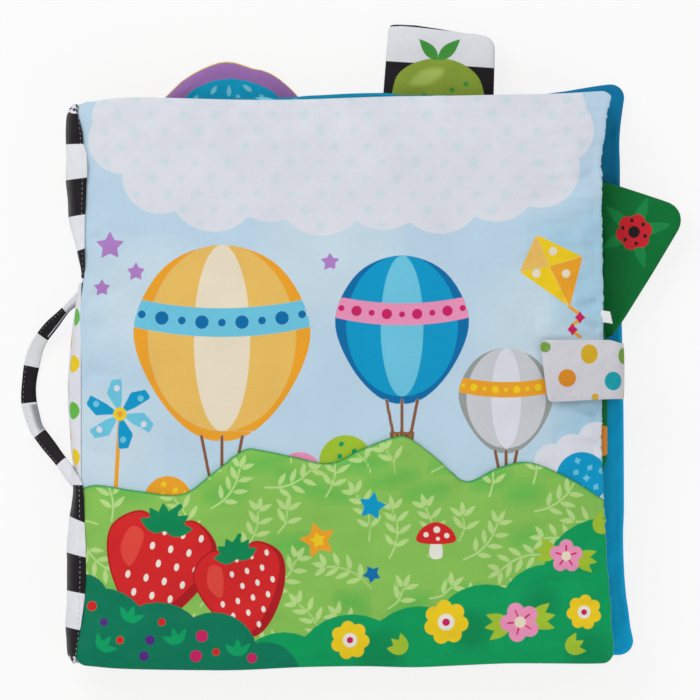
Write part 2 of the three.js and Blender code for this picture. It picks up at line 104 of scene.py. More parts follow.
def px(x, y, z=30):
    """The place, in millimetres, that the photograph shows at x, y; z is its height."""
    k = PIXEL * (LENS[2] - z) / LENS_TO_COVER
    return LENS[0] + (x - PHOTO / 2) * k, LENS[1] + (PHOTO / 2 - y) * k


def at_tabs(*points):
    return [px(x, y, TAB_Z) for x, y in points]


def turned(points, turn, x=0.0, y=0.0):
    """Points turned about the origin, then moved by x and y."""
    c, s = math.cos(turn), math.sin(turn)
    return np.asarray(points) @ np.array([(c, s), (-s, c)]) + (x, y)


def linear(colour):
    c = np.array(colour, float) / 255
    return (*np.where(c <= 0.04045, c / 12.92, ((c + 0.055) / 1.055) ** 2.4), 1.0)


def smooth(x, low, high):
    t = np.clip((x - low) / (high - low), 0, 1)
    return t * t * (3 - 2 * t)


def ripple(x, y, seed, size, octaves=2):
    """Soft noise from -1 to 1, made of sine waves in many directions."""
    r = np.random.default_rng(seed)
    waves_each, calm = 7, 3
    total = np.zeros(np.broadcast(x, y).shape)
    for k in range(octaves):
        for _ in range(waves_each):
            a, phase = r.uniform(0, 2 * math.pi, 2)
            f = 2 * math.pi / (size / 2**k) * r.uniform(0.7, 1.3)
            total += np.sin((x * math.cos(a) + y * math.sin(a)) * f + phase) * 0.5**k / calm
    return total


def resample(field, rows, columns):
    """A grid of values read at fractional rows and columns, smoothly."""
    def along(a, t):
        n = a.shape[0]
        i = np.clip(np.floor(t).astype(int), 0, n - 2)
        f = (t - i)[:, None, None]
        p = [a[np.clip(i + k, 0, n - 1)] for k in (-1, 0, 1, 2)]
        return 0.5 * (2 * p[1] + f * (p[2] - p[0]) + f**2 * (2 * p[0] - 5 * p[1] + 4 * p[2] - p[3])
                      + f**3 * (3 * (p[1] - p[2]) + p[3] - p[0]))
    half = along(field, rows)
    return along(half.transpose(1, 0, 2), columns).transpose(1, 0, 2)


def to_scene(name, data):
    o = bpy.data.objects.new(name, data)
    bpy.context.scene.collection.objects.link(o)
    return o


def mesh_object(name, points, faces, materials, face_materials=None):
    mesh = bpy.data.meshes.new(name)
    mesh.from_pydata((np.reshape(points, (-1, 3)) * MM).tolist(), [],
                     faces if isinstance(faces, list) else faces.tolist())
    for m in materials:
        mesh.materials.append(m)
    if face_materials is not None:
        mesh.polygons.foreach_set("material_index", np.asarray(face_materials, np.int32))
    mesh.polygons.foreach_set("use_smooth", np.ones(len(mesh.polygons), bool))
    mesh.update()
    return to_scene(name, mesh)


def grid_faces(rows, columns, start=0, flip=False):
    r, c = np.meshgrid(np.arange(rows - 1), np.arange(columns - 1), indexing="ij")
    a = start + r * columns + c
    q = np.stack([a, a + 1, a + columns + 1, a + columns], -1).reshape(-1, 4)
    return q[:, ::-1] if flip else q


def ring_faces(rings, count):
    """Faces between closed rings of points that follow one another."""
    a, k = np.meshgrid(np.arange(count), np.arange(rings - 1) * count)
    b = (a + 1) % count + k
    a = a + k
    return np.stack([a, b, b + count, a + count], -1).reshape(-1, 4)


def slab(name, top, low, materials):
    """A closed sheet between two grids of points; its underside has the last material."""
    rows, columns = top.shape[:2]
    n = rows * columns
    ring = np.concatenate([np.arange(columns), np.arange(1, rows) * columns + columns - 1,
                           (rows - 1) * columns + np.arange(columns - 2, -1, -1),
                           np.arange(rows - 2, 0, -1) * columns])
    after = np.roll(ring, -1)
    sides = np.stack([ring, ring + n, after + n, after], -1)
    over, under = grid_faces(rows, columns), grid_faces(rows, columns, n, True)
    index = [0] * len(over) + [len(materials) - 1] * (len(under) + len(sides))
    points = np.concatenate([top.reshape(-1, 3), low.reshape(-1, 3)])
    return mesh_object(name, points, np.concatenate([over, under, sides]), materials, index)


def declare(o, slot, *nodes, body=None, bend=None, fill=None):
    """Hides the solids that a piece shows and ties it to the body it moves with; slot is not used. With bend,
    (body, body, from, to) in millimetres, its place is only baked into its points and no body holds it. Fill is not
    used."""
    if nodes:
        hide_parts(*nodes)
    if bend:
        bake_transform(o)
    else:
        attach(o, body)


# Printed artwork: signed distances, in millimetres, of each ink at each point of the cloth

def stroke_distance(x, y, points, width):
    best = np.full(x.shape, 1e9)
    for (ax, ay), (bx, by) in zip(points[:-1], points[1:]):
        ex, ey = bx - ax, by - ay
        t = np.clip(((x - ax) * ex + (y - ay) * ey) / (ex * ex + ey * ey + 1e-12), 0, 1)
        best = np.minimum(best, np.hypot(x - ax - t * ex, y - ay - t * ey))
    return best - width / 2


def polygon_distance(x, y, corners):
    p = np.asarray(corners, float)
    best = stroke_distance(x, y, np.concatenate([p, p[:1]]), 0)
    inside = np.zeros(x.shape, bool)
    for (ax, ay), (bx, by) in zip(p, np.roll(p, -1, 0)):
        inside ^= ((ay > y) != (by > y)) & (x < (bx - ax) * (y - ay) / ((by - ay) or 1e-12) + ax)
    return np.where(inside, -best, best)


def curve(points, closed=True, steps=6):
    """A smooth line through the given points."""
    p = np.asarray(points, float)
    n = len(p)
    out = []
    for i in range(n if closed else n - 1):
        idx = [(i + k) % n if closed else min(max(i + k, 0), n - 1) for k in (-1, 0, 1, 2)]
        a, b, c, d = p[idx]
        for t in np.arange(steps) / steps:
            out.append(0.5 * (2 * b + (c - a) * t + (2 * a - 5 * b + 4 * c - d) * t**2
                              + (3 * (b - c) + d - a) * t**3))
    if not closed:
        out.append(p[-1])
    return np.array(out)


class Print:
    """Ink on cloth. Inks are laid from the first to the last; a shape hides what lies under it."""

    def __init__(self, x, y, inks):
        self.x, self.y, self.inks = np.ravel(x), np.ravel(y), list(inks)
        self.ink = {k: np.full(self.x.size, NO_INK) for k in self.inks}
        self.window = None

    def near(self, points, reach):
        low, high = np.min(points, 0) - reach - 2, np.max(points, 0) + reach + 2
        here = (self.x > low[0]) & (self.x < high[0]) & (self.y > low[1]) & (self.y < high[1])
        return np.flatnonzero(here)

    def lay(self, ink, at, d):
        if self.window is not None:
            d = np.maximum(d, self.window[at])
        for above in self.inks[self.inks.index(ink) + 1:]:
            self.ink[above][at] = np.maximum(self.ink[above][at], -d)
        self.ink[ink][at] = np.minimum(self.ink[ink][at], d)

    def shape(self, ink, corners):
        at = self.near(corners, 0)
        if at.size:
            self.lay(ink, at, polygon_distance(self.x[at], self.y[at], corners))

    def blob(self, ink, *points):
        self.shape(ink, curve(points))

    def dot(self, ink, x, y, r, ry=None, turn=0.0):
        a = np.linspace(0, 2 * math.pi, 29)[:-1]
        self.shape(ink, turned(np.stack([r * np.cos(a), (ry or r) * np.sin(a)], -1), turn, x, y))

    def stroke(self, ink, points, width, smooth_line=True):
        line = curve(points, closed=False) if smooth_line and len(points) > 2 else np.asarray(points)
        at = self.near(line, width)
        if at.size:
            self.lay(ink, at, stroke_distance(self.x[at], self.y[at], line, width))

    def leaf(self, ink, x, y, turn, length, width):
        """A pointed leaf whose stalk end is at x, y."""
        t = np.linspace(0, 1, 9)
        half = width / 2 * np.sin(math.pi * t**0.8)
        u = np.concatenate([t, t[-2:0:-1]]) * length
        v = np.concatenate([half, -half[-2:0:-1]])
        self.shape(ink, turned(np.stack([u, v], -1), turn, x, y))

    def write(self, mesh, first=0):
        """Puts the inks on the mesh's points, from the one numbered first."""
        for k, d in self.ink.items():
            a = mesh.attributes.get(k) or mesh.attributes.new(k, "FLOAT", "POINT")
            values = np.full(len(mesh.vertices), NO_INK, np.float32)
            values[first:first + d.size] = d
            a.data.foreach_set("value", values)


def print_on(o, points, art, inks, first=0):
    p = Print(points[..., 0], points[..., 1], [i[0] for i in inks])
    art(p)
    p.write(o.data, first)


# Materials

def node(tree, kind, inputs=(), **settings):
    """A new node. Inputs gives each socket a value, or an output that it is linked to."""
    n = tree.nodes.new(kind)
    for key, value in settings.items():
        setattr(n, key, value)
    for socket, value in dict(inputs).items():
        if isinstance(value, bpy.types.NodeSocket):
            tree.links.new(value, n.inputs[socket])
        else:
            n.inputs[socket].default_value = value
    return n


def calculate(tree, operation, a, b, **settings):
    return node(tree, "ShaderNodeMath", {0: a, 1: b}, operation=operation, **settings).outputs[0]


def mix(tree, factor, a, b, blend="MIX"):
    return node(tree, "ShaderNodeMix", {0: factor, 6: a, 7: b}, data_type="RGBA", blend_type=blend).outputs[2]


def ramp(tree, value, low, high, start=0.0, end=1.0):
    return node(tree, "ShaderNodeMapRange", {0: value, 1: low, 2: high, 3: start, 4: end}).outputs[0]


def empty_tree(owner):
    owner.use_nodes = True
    owner.node_tree.nodes.clear()
    return owner.node_tree


def cloth(name, colour, inks=(), rough=0.5, sheen=0.03, weave=0.45, depth=0.5, rumple=0.25):
    """Woven cloth with printed inks: (attribute, colour, softness in mm). Weave is in mm."""
    material = bpy.data.materials.new(name)
    tree = empty_tree(material)
    place = node(tree, "ShaderNodeTexCoord").outputs["Object"]

    def noise(scale, detail):
        return node(tree, "ShaderNodeTexNoise", {"Vector": place, "Scale": scale, "Detail": detail}).outputs["Fac"]

    c = linear(colour)
    for ink, ink_colour, *softness in inks:
        blur = softness[0] if softness else INK_EDGE
        printed = node(tree, "ShaderNodeAttribute", attribute_name=ink).outputs["Fac"]
        c = mix(tree, ramp(tree, printed, blur, -blur), c, linear(ink_colour))
    broad, fine = noise(38.0, 3.0), noise(900.0, 2.0)
    shade = calculate(tree, "MULTIPLY", ramp(tree, broad, 0.3, 0.7, 0.95, 1.025),
                      ramp(tree, fine, 0.25, 0.75, 0.96, 1.0))
    threads = [node(tree, "ShaderNodeTexWave", {"Vector": place, "Scale": 314.0 / weave, "Distortion": 0.6,
                                                "Detail": 1.0}, bands_direction=way).outputs["Fac"] for way in "XY"]
    bump = node(tree, "ShaderNodeBump", {"Strength": depth, "Distance": 0.00006,
                                         "Height": calculate(tree, "ADD", *threads)}).outputs[0]
    folds = node(tree, "ShaderNodeBump", {"Strength": rumple, "Distance": 0.0012, "Height": noise(95.0, 3.0),
                                          "Normal": bump}).outputs[0]
    shader = node(tree, "ShaderNodeBsdfPrincipled", {
        "Base Color": mix(tree, 1.0, c, shade, "MULTIPLY"), "Specular IOR Level": 0.12, "Sheen Weight": sheen,
        "Sheen Roughness": 0.4, "Roughness": ramp(tree, broad, 0.3, 0.7, rough - 0.05, rough + 0.07),
        "Normal": folds})
    node(tree, "ShaderNodeOutputMaterial", {0: shader.outputs[0]})
    return material


# Camera, light and floor

camera = to_scene("camera", bpy.data.cameras.new("camera"))
bpy.context.scene.camera = camera
camera.data.sensor_width = SENSOR = 36
camera.data.lens = SENSOR * LENS_TO_COVER / (PHOTO * PIXEL)
camera.data.clip_end = 50
camera.location = tuple(c * MM for c in LENS)


def lamp(name, place, side, power):
    light = bpy.data.lights.new(name, "AREA")
    light.shape, light.size, light.size_y = "RECTANGLE", side, side
    light.energy = power
    o = to_scene(name, light)
    o.location = place
    o.rotation_euler = (Vector((0, 0, 0.02)) - Vector(place)).to_track_quat("-Z", "Y").to_euler()


lamp("key", (-0.75, 0.75, 1.1), 0.9, 8.5)
lamp("fill", (1.0, -0.7, 1.2), 1.2, 3.2)

world = bpy.data.worlds.new("studio")
bpy.context.scene.world = world
sky = empty_tree(world)
rays = node(sky, "ShaderNodeLightPath").outputs
seen = calculate(sky, "ADD", rays["Is Camera Ray"], rays["Is Glossy Ray"])
seen = calculate(sky, "ADD", seen, rays["Is Transmission Ray"], use_clamp=True)
ambient, white = (node(sky, "ShaderNodeBackground", {0: (1, 1, 1, 1), 1: k}).outputs[0] for k in (0.62, 1.0))
choose = node(sky, "ShaderNodeMixShader", {0: seen, 1: ambient, 2: white})
node(sky, "ShaderNodeOutputWorld", {0: choose.outputs[0]})

floor_material = bpy.data.materials.new("floor")
ground = empty_tree(floor_material)
matt = node(ground, "ShaderNodeBsdfDiffuse", {"Color": (0.9, 0.9, 0.9, 1)}).outputs[0]
glow = node(ground, "ShaderNodeEmission", {"Color": (1, 1, 1, 1), "Strength": 1.0}).outputs[0]
share = calculate(ground, "MULTIPLY", node(ground, "ShaderNodeLightPath").outputs["Is Camera Ray"], 0.82)
blended = node(ground, "ShaderNodeMixShader", {0: share, 1: matt, 2: glow})
node(ground, "ShaderNodeOutputMaterial", {0: blended.outputs[0]})
FAR = 9000
floor = mesh_object("floor", [(-FAR, -FAR, 0), (FAR, -FAR, 0), (FAR, FAR, 0), (-FAR, FAR, 0)], [(0, 1, 2, 3)],
                    [floor_material])
floor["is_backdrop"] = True
bpy.context.scene.view_settings.view_transform = "Standard"


# The padded leaves: an inflated bag, simulated once and fitted to each leaf's outline

SEAM = 118.3                    # mm, from the middle to the spine seam
FOOT = 138.2                    # mm, from the middle to the foot
RISE = 3.8                      # mm, half of a leaf's thickness
BAG = 115, 122                  # mm, half of the simulated bag's sides
STEPS = 20                      # of the simulation
PULL = 0.22                     # the share of the bag's drift in its own plane that a leaf keeps
COVER_CORNER, FRILL = 4.5, 0.3  # mm, of the front cover


class Plan:
    """A leaf's outline in u and v from -1 to 1: bowed edges and rounded corners."""

    def __init__(self, width, rise, flare, hollow, spine_height, fore_height, head_bow, foot_bow):
        self.width, self.bottom, self.flare, self.hollow = width, -FOOT + rise, flare, hollow
        self.spine_height, self.fore_height = spine_height, fore_height
        self.head_bow, self.foot_bow = head_bow, foot_bow
        self.half = width / 2, (spine_height + fore_height) / 4

    def place(self, u, v):
        right = -SEAM + self.width + self.flare * (1 - v) / 2 - self.hollow * (1 - v * v)
        top = (self.bottom + self.spine_height * (1 - u) / 2 + self.fore_height * (1 + u) / 2
               + self.head_bow * (1 - u * u))
        low = self.bottom - self.foot_bow * (1 - u * u)
        return -SEAM * (1 - u) / 2 + right * (1 + u) / 2, low * (1 - v) / 2 + top * (1 + v) / 2

    def rounded(self, s, t, radius=7.0):
        """From the square to the square with rounded corners."""
        a = np.maximum(np.maximum(np.abs(s), np.abs(t)), 1e-9)
        p, q = s / a, t / a
        ru, rv = radius / self.half[0], radius / self.half[1]
        side = np.abs(q) >= np.abs(p)
        m = np.where(side, p, q)
        r = np.where(side, ru, rv)
        corner = np.abs(m) > 1 - r
        phi = math.pi / 4 * np.clip((np.abs(m) - (1 - r)) / r, 0, 1)
        along = np.where(corner, 1 - r + r * np.sin(phi), np.abs(m))
        across = 1 - np.where(side, rv, ru) * (1 - np.cos(phi)) * corner
        along = along * np.sign(m)
        u = np.where(side, along, across * np.sign(p))
        v = np.where(side, across * np.sign(q), along)
        return u * a, v * a


def inflated(n=50):
    """Displacements of a bag's two cloths, blown up in a simulation, as grids over the square."""
    line = np.linspace(-1, 1, n + 1)
    s, t = np.meshgrid(line, line)
    edge = np.minimum(1 - np.abs(s), 1 - np.abs(t)) * 117
    rise = np.where(edge <= 1e-6, 0, 1.0 + 1.6 * np.sqrt(1 - (1 - np.clip(edge / 20, 0, 1)) ** 2))
    count = (n + 1) ** 2
    inner = np.flatnonzero((edge > 1e-6).ravel())
    low_index = np.arange(count)
    low_index[inner] = count + np.arange(inner.size)
    top = np.stack([s * BAG[0], t * BAG[1], rise], -1).reshape(-1, 3)
    both = np.concatenate([top, (top * (1, 1, -1))[inner]])
    faces = grid_faces(n + 1, n + 1)
    bag = mesh_object("bag", both, np.concatenate([faces, low_index[faces][:, ::-1]]), [])
    modifier = bag.modifiers.new("cloth", "CLOTH")
    settings = modifier.settings
    settings.quality = 6
    settings.mass = 0.25
    settings.tension_stiffness = settings.compression_stiffness = 12
    settings.shear_stiffness = 6
    settings.bending_stiffness = 0.08
    settings.use_pressure = True
    settings.uniform_pressure_force = 0.5
    settings.shrink_min = -0.03
    settings.effector_weights.gravity = 0
    modifier.collision_settings.use_collision = False
    scene = bpy.context.scene
    for f in range(1, STEPS + 1):
        scene.frame_set(f)
    got = bag.evaluated_get(bpy.context.evaluated_depsgraph_get()).to_mesh()
    after = np.empty(len(got.vertices) * 3)
    got.vertices.foreach_get("co", after)
    after = after.reshape(-1, 3) / MM
    bag.to_mesh_clear()
    bpy.data.objects.remove(bag)
    scene.frame_set(1)
    moved = after - both
    height = top * (0, 0, 1)
    return ((moved[:count] + height).reshape(n + 1, n + 1, 3),
            (moved[low_index] - height).reshape(n + 1, n + 1, 3))


def fine_line(count, even=0.35):
    """Places from -1 to 1, closer together towards both ends."""
    x = np.linspace(-1, 1, count)
    return x + even * np.sin(math.pi * x) / math.pi


bag_top, bag_low = inflated()
bag_height = np.percentile(bag_top[..., 2], 92)


def wavy(*points):
    return curve(points, closed=False, steps=8).T


STRAIGHT = wavy((-1, 0), (1, 0))
COVER_EDGES = (
    wavy((-1, 0), (-0.934, 0.3), (-0.895, 1.0), (-0.84, 1.5), (-0.78, 1.65), (-0.7, 1.4), (-0.4, -0.3),
         (-0.17, -0.75), (0.15, -0.3), (0.36, -0.5), (0.6, -0.55), (0.8, -0.6), (0.95, 0), (1, 0.1)),
    wavy((-1, -1.6), (-0.93, -2.0), (-0.82, -2.4), (-0.55, -1.8), (-0.4, -1.3), (-0.17, 0.4), (0.06, 0.9),
         (0.25, 0.25), (0.44, 0.75), (0.6, 1.0), (0.75, 0.35), (0.93, -0.7), (1, -0.6)),
    wavy((-1, 0.6), (-0.92, 0.7), (-0.79, 0.4), (-0.65, -0.2), (-0.43, -0.6), (-0.29, -1.0), (-0.17, -0.8),
         (0.1, 0.1), (0.27, 0.1), (0.58, -1.0), (0.7, -1.1), (0.75, -2.0), (0.81, -0.75), (0.92, 0.35), (0.98, 2.0),
         (1, 2.0)),
    wavy((-1, -2.4), (-0.95, -2.4), (-0.89, -1.4), (-0.8, -0.3), (-0.6, 0), (0, 0), (0.1, -0.3), (0.22, -0.9),
         (0.285, -0.5), (0.33, 0.5), (0.368, 0.95), (0.42, 1.05), (0.48, 0.7), (0.56, 0.1), (0.7, 0), (0.85, 0),
         (0.9, -0.8), (0.94, -1.8), (1, -1.6)))
BACK_EDGES = (
    wavy((-1, 0), (0.5, 0), (0.75, 0.35), (0.84, 1.0), (0.92, 1.5), (1, 1.3)),
    STRAIGHT,
    wavy((-1, 1.4), (-0.95, 1.3), (-0.9, 0.4), (-0.84, -0.1), (-0.79, -0.7), (-0.7, -1.0), (-0.58, -0.7),
         (-0.46, 0.3), (-0.16, 1.3), (0.1, 1.3), (0.45, 0.4), (0.69, 0), (0.78, -0.5), (0.84, -0.3), (0.9, 0.4),
         (0.95, 1.1), (1, 1.2)),
    STRAIGHT)

SPINE_NOTCH = wavy((-1, 0), (0.24, 0), (0.29, 0.1), (0.33, 0.6), (0.368, 1.1), (0.42, 1.1), (0.48, 0.6), (0.56, 0),
                   (1, 0))
PAGE_HEAD = wavy((-1, 0), (-0.4, -0.6), (-0.21, -1.2), (-0.15, -0.7), (-0.08, -0.5), (0.02, -0.1), (0.15, 0),
                 (0.19, -0.5), (0.23, -1.1), (0.6, -1.1), (1, -1.1))
PAGE_1_EDGES = (
    PAGE_HEAD,
    STRAIGHT,
    wavy((-1, -0.3), (-0.8, -0.3), (-0.65, -0.7), (-0.51, -1.6), (-0.4, -2.2), (-0.34, -2.4), (-0.31, -1.6),
         (-0.28, -0.6), (-0.2, -0.5), (0.1, -0.5), (0.15, -1.0), (0.2, -2.6), (0.26, -3.2), (0.87, -3.2), (1, -1.7)),
    SPINE_NOTCH)
PAGE_2_EDGES = (
    PAGE_HEAD,
    wavy((-1, 0), (0.7, 0), (0.85, -0.4), (1, -1.2)),
    wavy((-1, 0.2), (-0.94, -0.2), (-0.8, -1.4), (-0.65, -2.3), (-0.51, -3.1), (-0.4, -3.6), (-0.34, -3.8),
         (-0.31, -2.8), (-0.28, -1.7), (-0.2, -1.5), (0.1, -1.3), (0.15, -2.0), (0.2, -3.6), (0.3, -3.9),
         (0.87, -3.3), (1, -1.4)),
    SPINE_NOTCH)


def leaf_grid(plan, middle, crown, s, t, side, turn, edges, radius=7.0, frill=0.0):
    """Points of one cloth of a leaf. Side is 1 over and -1 under; turn mirrors the bag. Edges
    give how far the head, foot, fore and spine edges wander from the plan."""
    bag = bag_top if side > 0 else bag_low
    flip = (-1 if turn & 1 else 1), (-1 if turn & 2 else 1)
    bag = bag[::flip[1], ::flip[0]] * (flip[0], flip[1], 1)
    n = bag.shape[0] - 1
    moved = resample(bag, (t + 1) / 2 * n, (s + 1) / 2 * n)
    ss, tt = np.meshgrid(s, t)
    u, v = plan.rounded(ss, tt, radius)
    x, y = plan.place(u, v)
    head, foot, fore, spine = (np.interp(w, *e) for w, e in zip((u, u, v, v), edges))
    y = y + head * smooth(v, -0.4, 1) + foot * smooth(-v, -0.4, 1)
    x = x + fore * smooth(u, -0.2, 1) + spine * smooth(-u, 0.3, 1)
    x = x + frill * ripple(y, 0 * y, 71, 4.4) * smooth(u, 0.95, 1)
    edge = np.minimum(1 - np.abs(ss), 1 - np.abs(tt)) * plan.half[0]
    lip = np.sqrt(1 - (1 - np.clip(edge / 4, 0, 1)) ** 2) * (1 - smooth(edge, 3, 16)) * 1.1
    height = np.clip(np.abs(moved[..., 2]) / bag_height, 0, 1.15) * (RISE - 0.25)
    height = np.maximum(height, lip)
    pucker = ripple(x, y, 11 + turn, 17) * 0.3 * (1 - smooth(edge, 8, 30))
    pucker += ripple(x * 0.35, y, 17 + turn, 11) * 0.4 * smooth(u, 0.55, 0.85)
    height = np.minimum(height + pucker * smooth(edge, 0, 4), RISE + (0.4 if crown else 0.0))
    dome = crown * (1 - u * u) * (1 - v * v) if side > 0 else 0
    return np.stack([x + moved[..., 0] * PULL, y + moved[..., 1] * PULL, middle + side * height + dome], -1)


cover_plan = Plan(230.1, 0.5, 2.2, 2.8, 244.4, 249.4, 0, 3.3)
page_1_plan = Plan(230.7, 1.5, 0, 0, 242.2, 246.3, 3.3, 1.8)
page_2_plan = Plan(230.7, 1.5, 2.2, 0, 242.2, 246.3, 3.3, 1.8)
back_plan = Plan(237.2, 2.7, 4, 3, 239.2, 249.8, -4, 0.6)
COVER_Z, PAGE_1_Z, PAGE_2_Z, BACK_Z = 28.4, 20.2, 12.0, 3.8


# Colours, as the photograph shows them

SKY, CLOUD, AQUA_DOT = (192, 218, 236), (224, 227, 236), (212, 225, 233)
BLACK = (24, 20, 24)
BLUE, DEEP_BLUE, AQUA = (0, 155, 205), (0, 110, 170), (110, 200, 228)
GOLD, ORANGE, CREAM, YELLOW = (236, 192, 98), (240, 165, 40), (238, 226, 200), (244, 208, 30)
GREY, PALE_GREY, PINK, MAGENTA, RED = (152, 159, 156), (205, 209, 214), (240, 150, 190), (205, 30, 100), (214, 36, 38)
PURPLE, LILAC, TEAL = (139, 95, 165), (178, 128, 200), (0, 140, 180)
HILL, SPRIG = (138, 196, 88), (186, 222, 138)
BUSH, DARK_BUSH, BUSH_LEAF, YELLOW_GREEN = (0, 158, 92), (0, 122, 88), (0, 163, 100), (165, 198, 50)


def star(p, ink, x, y, r, points=5, turn=0.0, inner=0.5):
    a = np.arange(points * 2) * math.pi / points + turn + math.pi / 2
    k = np.where(np.arange(points * 2) % 2, inner, 1.0) * r
    p.shape(ink, np.stack([x + k * np.cos(a), y + k * np.sin(a)], -1))


def petals(p, ink, x, y, r, count, size, turn=0.0):
    for k in range(count):
        a = turn + 2 * math.pi * k / count
        p.dot(ink, x + r * math.cos(a), y + r * math.sin(a), size)


def discs(p, ink, *places):
    """Round patches: each a pixel of the photograph and a radius in pixels."""
    for x, y, r in places:
        p.dot(ink, *px(x, y), r * PIXEL)


def sprout(p, ink, x, y, turn, spread, length, width):
    for k in (-spread, 0, spread):
        p.leaf(ink, x, y, turn + k, length, width)


def balloon(p, x, y, r, panels, band, strokes, tail):
    """A hot-air balloon of upright panels, with a patterned band; panels name inks from left to right."""
    outline = curve([(0, 1), (0.62, 0.76), (0.95, 0.1), (0.72, -0.58), (0.26, -1.05), (-0.26, -1.05),
                     (-0.72, -0.58), (-0.95, 0.1), (-0.62, 0.76)]) * r + (x, y)
    p.shape(panels[0], outline)
    at = p.near(outline, 0)
    p.window = np.full(p.x.size, NO_INK)
    p.window[at] = polygon_distance(p.x[at], p.y[at], outline)
    for k in range(1, len(panels)):
        share = math.sin(math.pi / 2 * (2 * k / len(panels) - 1))
        side = [(share * math.cos(a) * 0.98, math.sin(a)) for a in np.linspace(-1.5, 1.54, 27)]
        p.shape(panels[k], np.array(side + [(1.2, 1), (1.2, -1)]) * r + (x, y))
    low = [(a, -0.12 * (1 - a * a) + 0.13) for a in np.linspace(-1.05, 1.05, 21)]
    high = [(a, 0.44 - 0.12 * (1 - a * a)) for a in np.linspace(1.05, -1.05, 21)]
    p.shape(band, np.array(low + high) * r + (x, y))
    for k, a in enumerate(np.linspace(-0.86, 0.86, 9)):
        h = 0.285 - 0.12 * (1 - a * a)
        p.dot(strokes, x + a * r, y + h * r, (0.075 if k % 2 else 0.045) * r)
    p.window = None
    for a in (-0.22, 0, 0.22):
        p.stroke(tail, [(x + a * r, y - 1.05 * r), (x + a * 0.6 * r, y - 1.5 * r)], 1.4, False)


CLOUD_PUFFS = (
    (122, 140, 34), (160, 176, 38), (214, 186, 46), (270, 178, 44), (322, 190, 46), (384, 182, 48), (440, 190, 44),
    (496, 180, 42), (540, 168, 40), (560, 130, 34), (560, 108, 26), (118, 116, 26), (330, 120, 80), (430, 115, 80),
    (510, 110, 66), (230, 115, 78), (160, 116, 54))


def cover_art(p):
    discs(p, "sky_light", (150, 300, 60), (330, 250, 70), (540, 330, 60), (110, 440, 50))
    # Painted shade: a deeper sky along the fore edge, where the creases and the closing strap shade the cover.
    discs(p, "sky_painted_shade", (600, 235, 34), (598, 290, 44), (596, 430, 40), (560, 246, 30))
    discs(p, "cloud", *CLOUD_PUFFS)
    p.window = 1.6 + np.min([np.hypot(p.x - px(cx, cy)[0], p.y - px(cx, cy)[1]) - r * PIXEL
                             for cx, cy, r in CLOUD_PUFFS] + [np.full(p.x.size, NO_INK)], 0)
    for i in range(-9, 10):
        for j in range(10):
            p.dot("aqua_dot", i * 13.6 + (j % 2) * 6.8 + math.sin(i * 5 + j) * 0.8, 109 - j * 7.0,
                  1.9 + 0.4 * math.sin(i * 3 + j * 2))
    p.window = None
    for cx, cy, r in ((110, 246, 9.5), (136, 272, 6.5), (102, 288, 6), (330, 262, 6.5)):
        star(p, "lilac", *px(cx, cy), r * 0.7)
    for cx, cy in ((596, 440), (572, 452), (552, 462)):
        p.dot("cloud", *px(cx, cy), 8)

    def kite(*points):
        return np.array(points) * 0.41 + px(552, 268)

    p.stroke("orange", kite((19, -42), (31, -53), (20, -64), (30, -74)), 1.5)
    for x, y in kite((30, -53), (22, -66)):
        star(p, "magenta", x, y, 3.0, 4)
    p.shape("yellow", kite((-17, 36), (-35, -4), (19, -42), (33, 12)))
    p.shape("gold", kite((-17, 36), (-35, -4), (-3, 2)))
    p.shape("orange", kite((33, 12), (-3, 2), (19, -42)))
    for x, y in kite((1, 18), (-17, -6), (15, -6)):
        p.dot("cream", x, y, 1.9)
    # a pinwheel on the hill
    x, y = px(120, 414)
    p.stroke("orange", [(x, y), (x - 2, y - 36)], 1.8, False)
    for k in range(6):
        *blade, dot = turned([(0, 0), (7, 1), (15, 3.5), (13.5, 7.6), (7, 8), (10.5, 4.4)],
                             k * math.pi / 3 + 0.25, x, y)
        p.shape("aqua" if k % 2 else "blue", blade)
        p.dot("cloud" if k % 2 else "aqua", *dot, 1.4)
    p.dot("yellow", x, y, 3.0)
    p.dot("orange", x, y, 1.4)
    for cx, cy, r, panels, looks in (
            (506, 398, 22, ("grey", "pale_grey", "cloud"), ("orange", "yellow", "brown")),
            (402, 326, 31, ("deep_blue", "blue", "aqua"), ("pink", "magenta", "brown")),
            (222, 338, 41, ("orange", "gold", "cream"), ("aqua", "deep_blue", "brown"))):
        balloon(p, *px(cx, cy), r, panels + panels[1::-1], *looks)
    x, y = px(402, 432)
    p.shape("brown", [(x - 5.5, y), (x + 5.5, y), (x + 4.4, y - 9), (x - 4.4, y - 9)])
    for k in (-3.4, -1.1, 1.1, 3.4):
        p.stroke("gold", [(x + k, y - 1), (x + k * 0.85, y - 9)], 0.7, False)
    # far bushes that the pocket covers in part
    for cx, cy, r, ink, marks in ((346, 462, 27, "yellow_green", "bush"), (300, 474, 22, "pink", "magenta"),
                                  (582, 478, 26, "blue", "aqua"), (168, 500, 24, "orange", "yellow")):
        discs(p, ink, (cx, cy, r))
        x, y = px(cx, cy)
        for k in range(9):
            a, d = k * 2.4, PIXEL * r * math.sqrt((k + 0.4) / 10) * 0.86
            star(p, marks, x + d * math.cos(a), y + d * math.sin(a), 1.9, 4, a)


# The second ink, the deeper sky along the fore edge, is painted shade.
COVER_INKS = [("sky_light", (202, 223, 236), 8.5), ("sky_painted_shade", (170, 209, 230), 8.5), ("cloud", CLOUD),
              ("aqua_dot", AQUA_DOT, 0.9), ("lilac", LILAC), ("brown", (140, 90, 60)),
              ("deep_blue", DEEP_BLUE), ("blue", BLUE), ("aqua", AQUA), ("grey", GREY), ("pale_grey", PALE_GREY),
              ("gold", GOLD), ("orange", ORANGE), ("cream", CREAM), ("yellow", YELLOW), ("pink", PINK),
              ("magenta", MAGENTA), ("yellow_green", YELLOW_GREEN), ("bush", BUSH)]


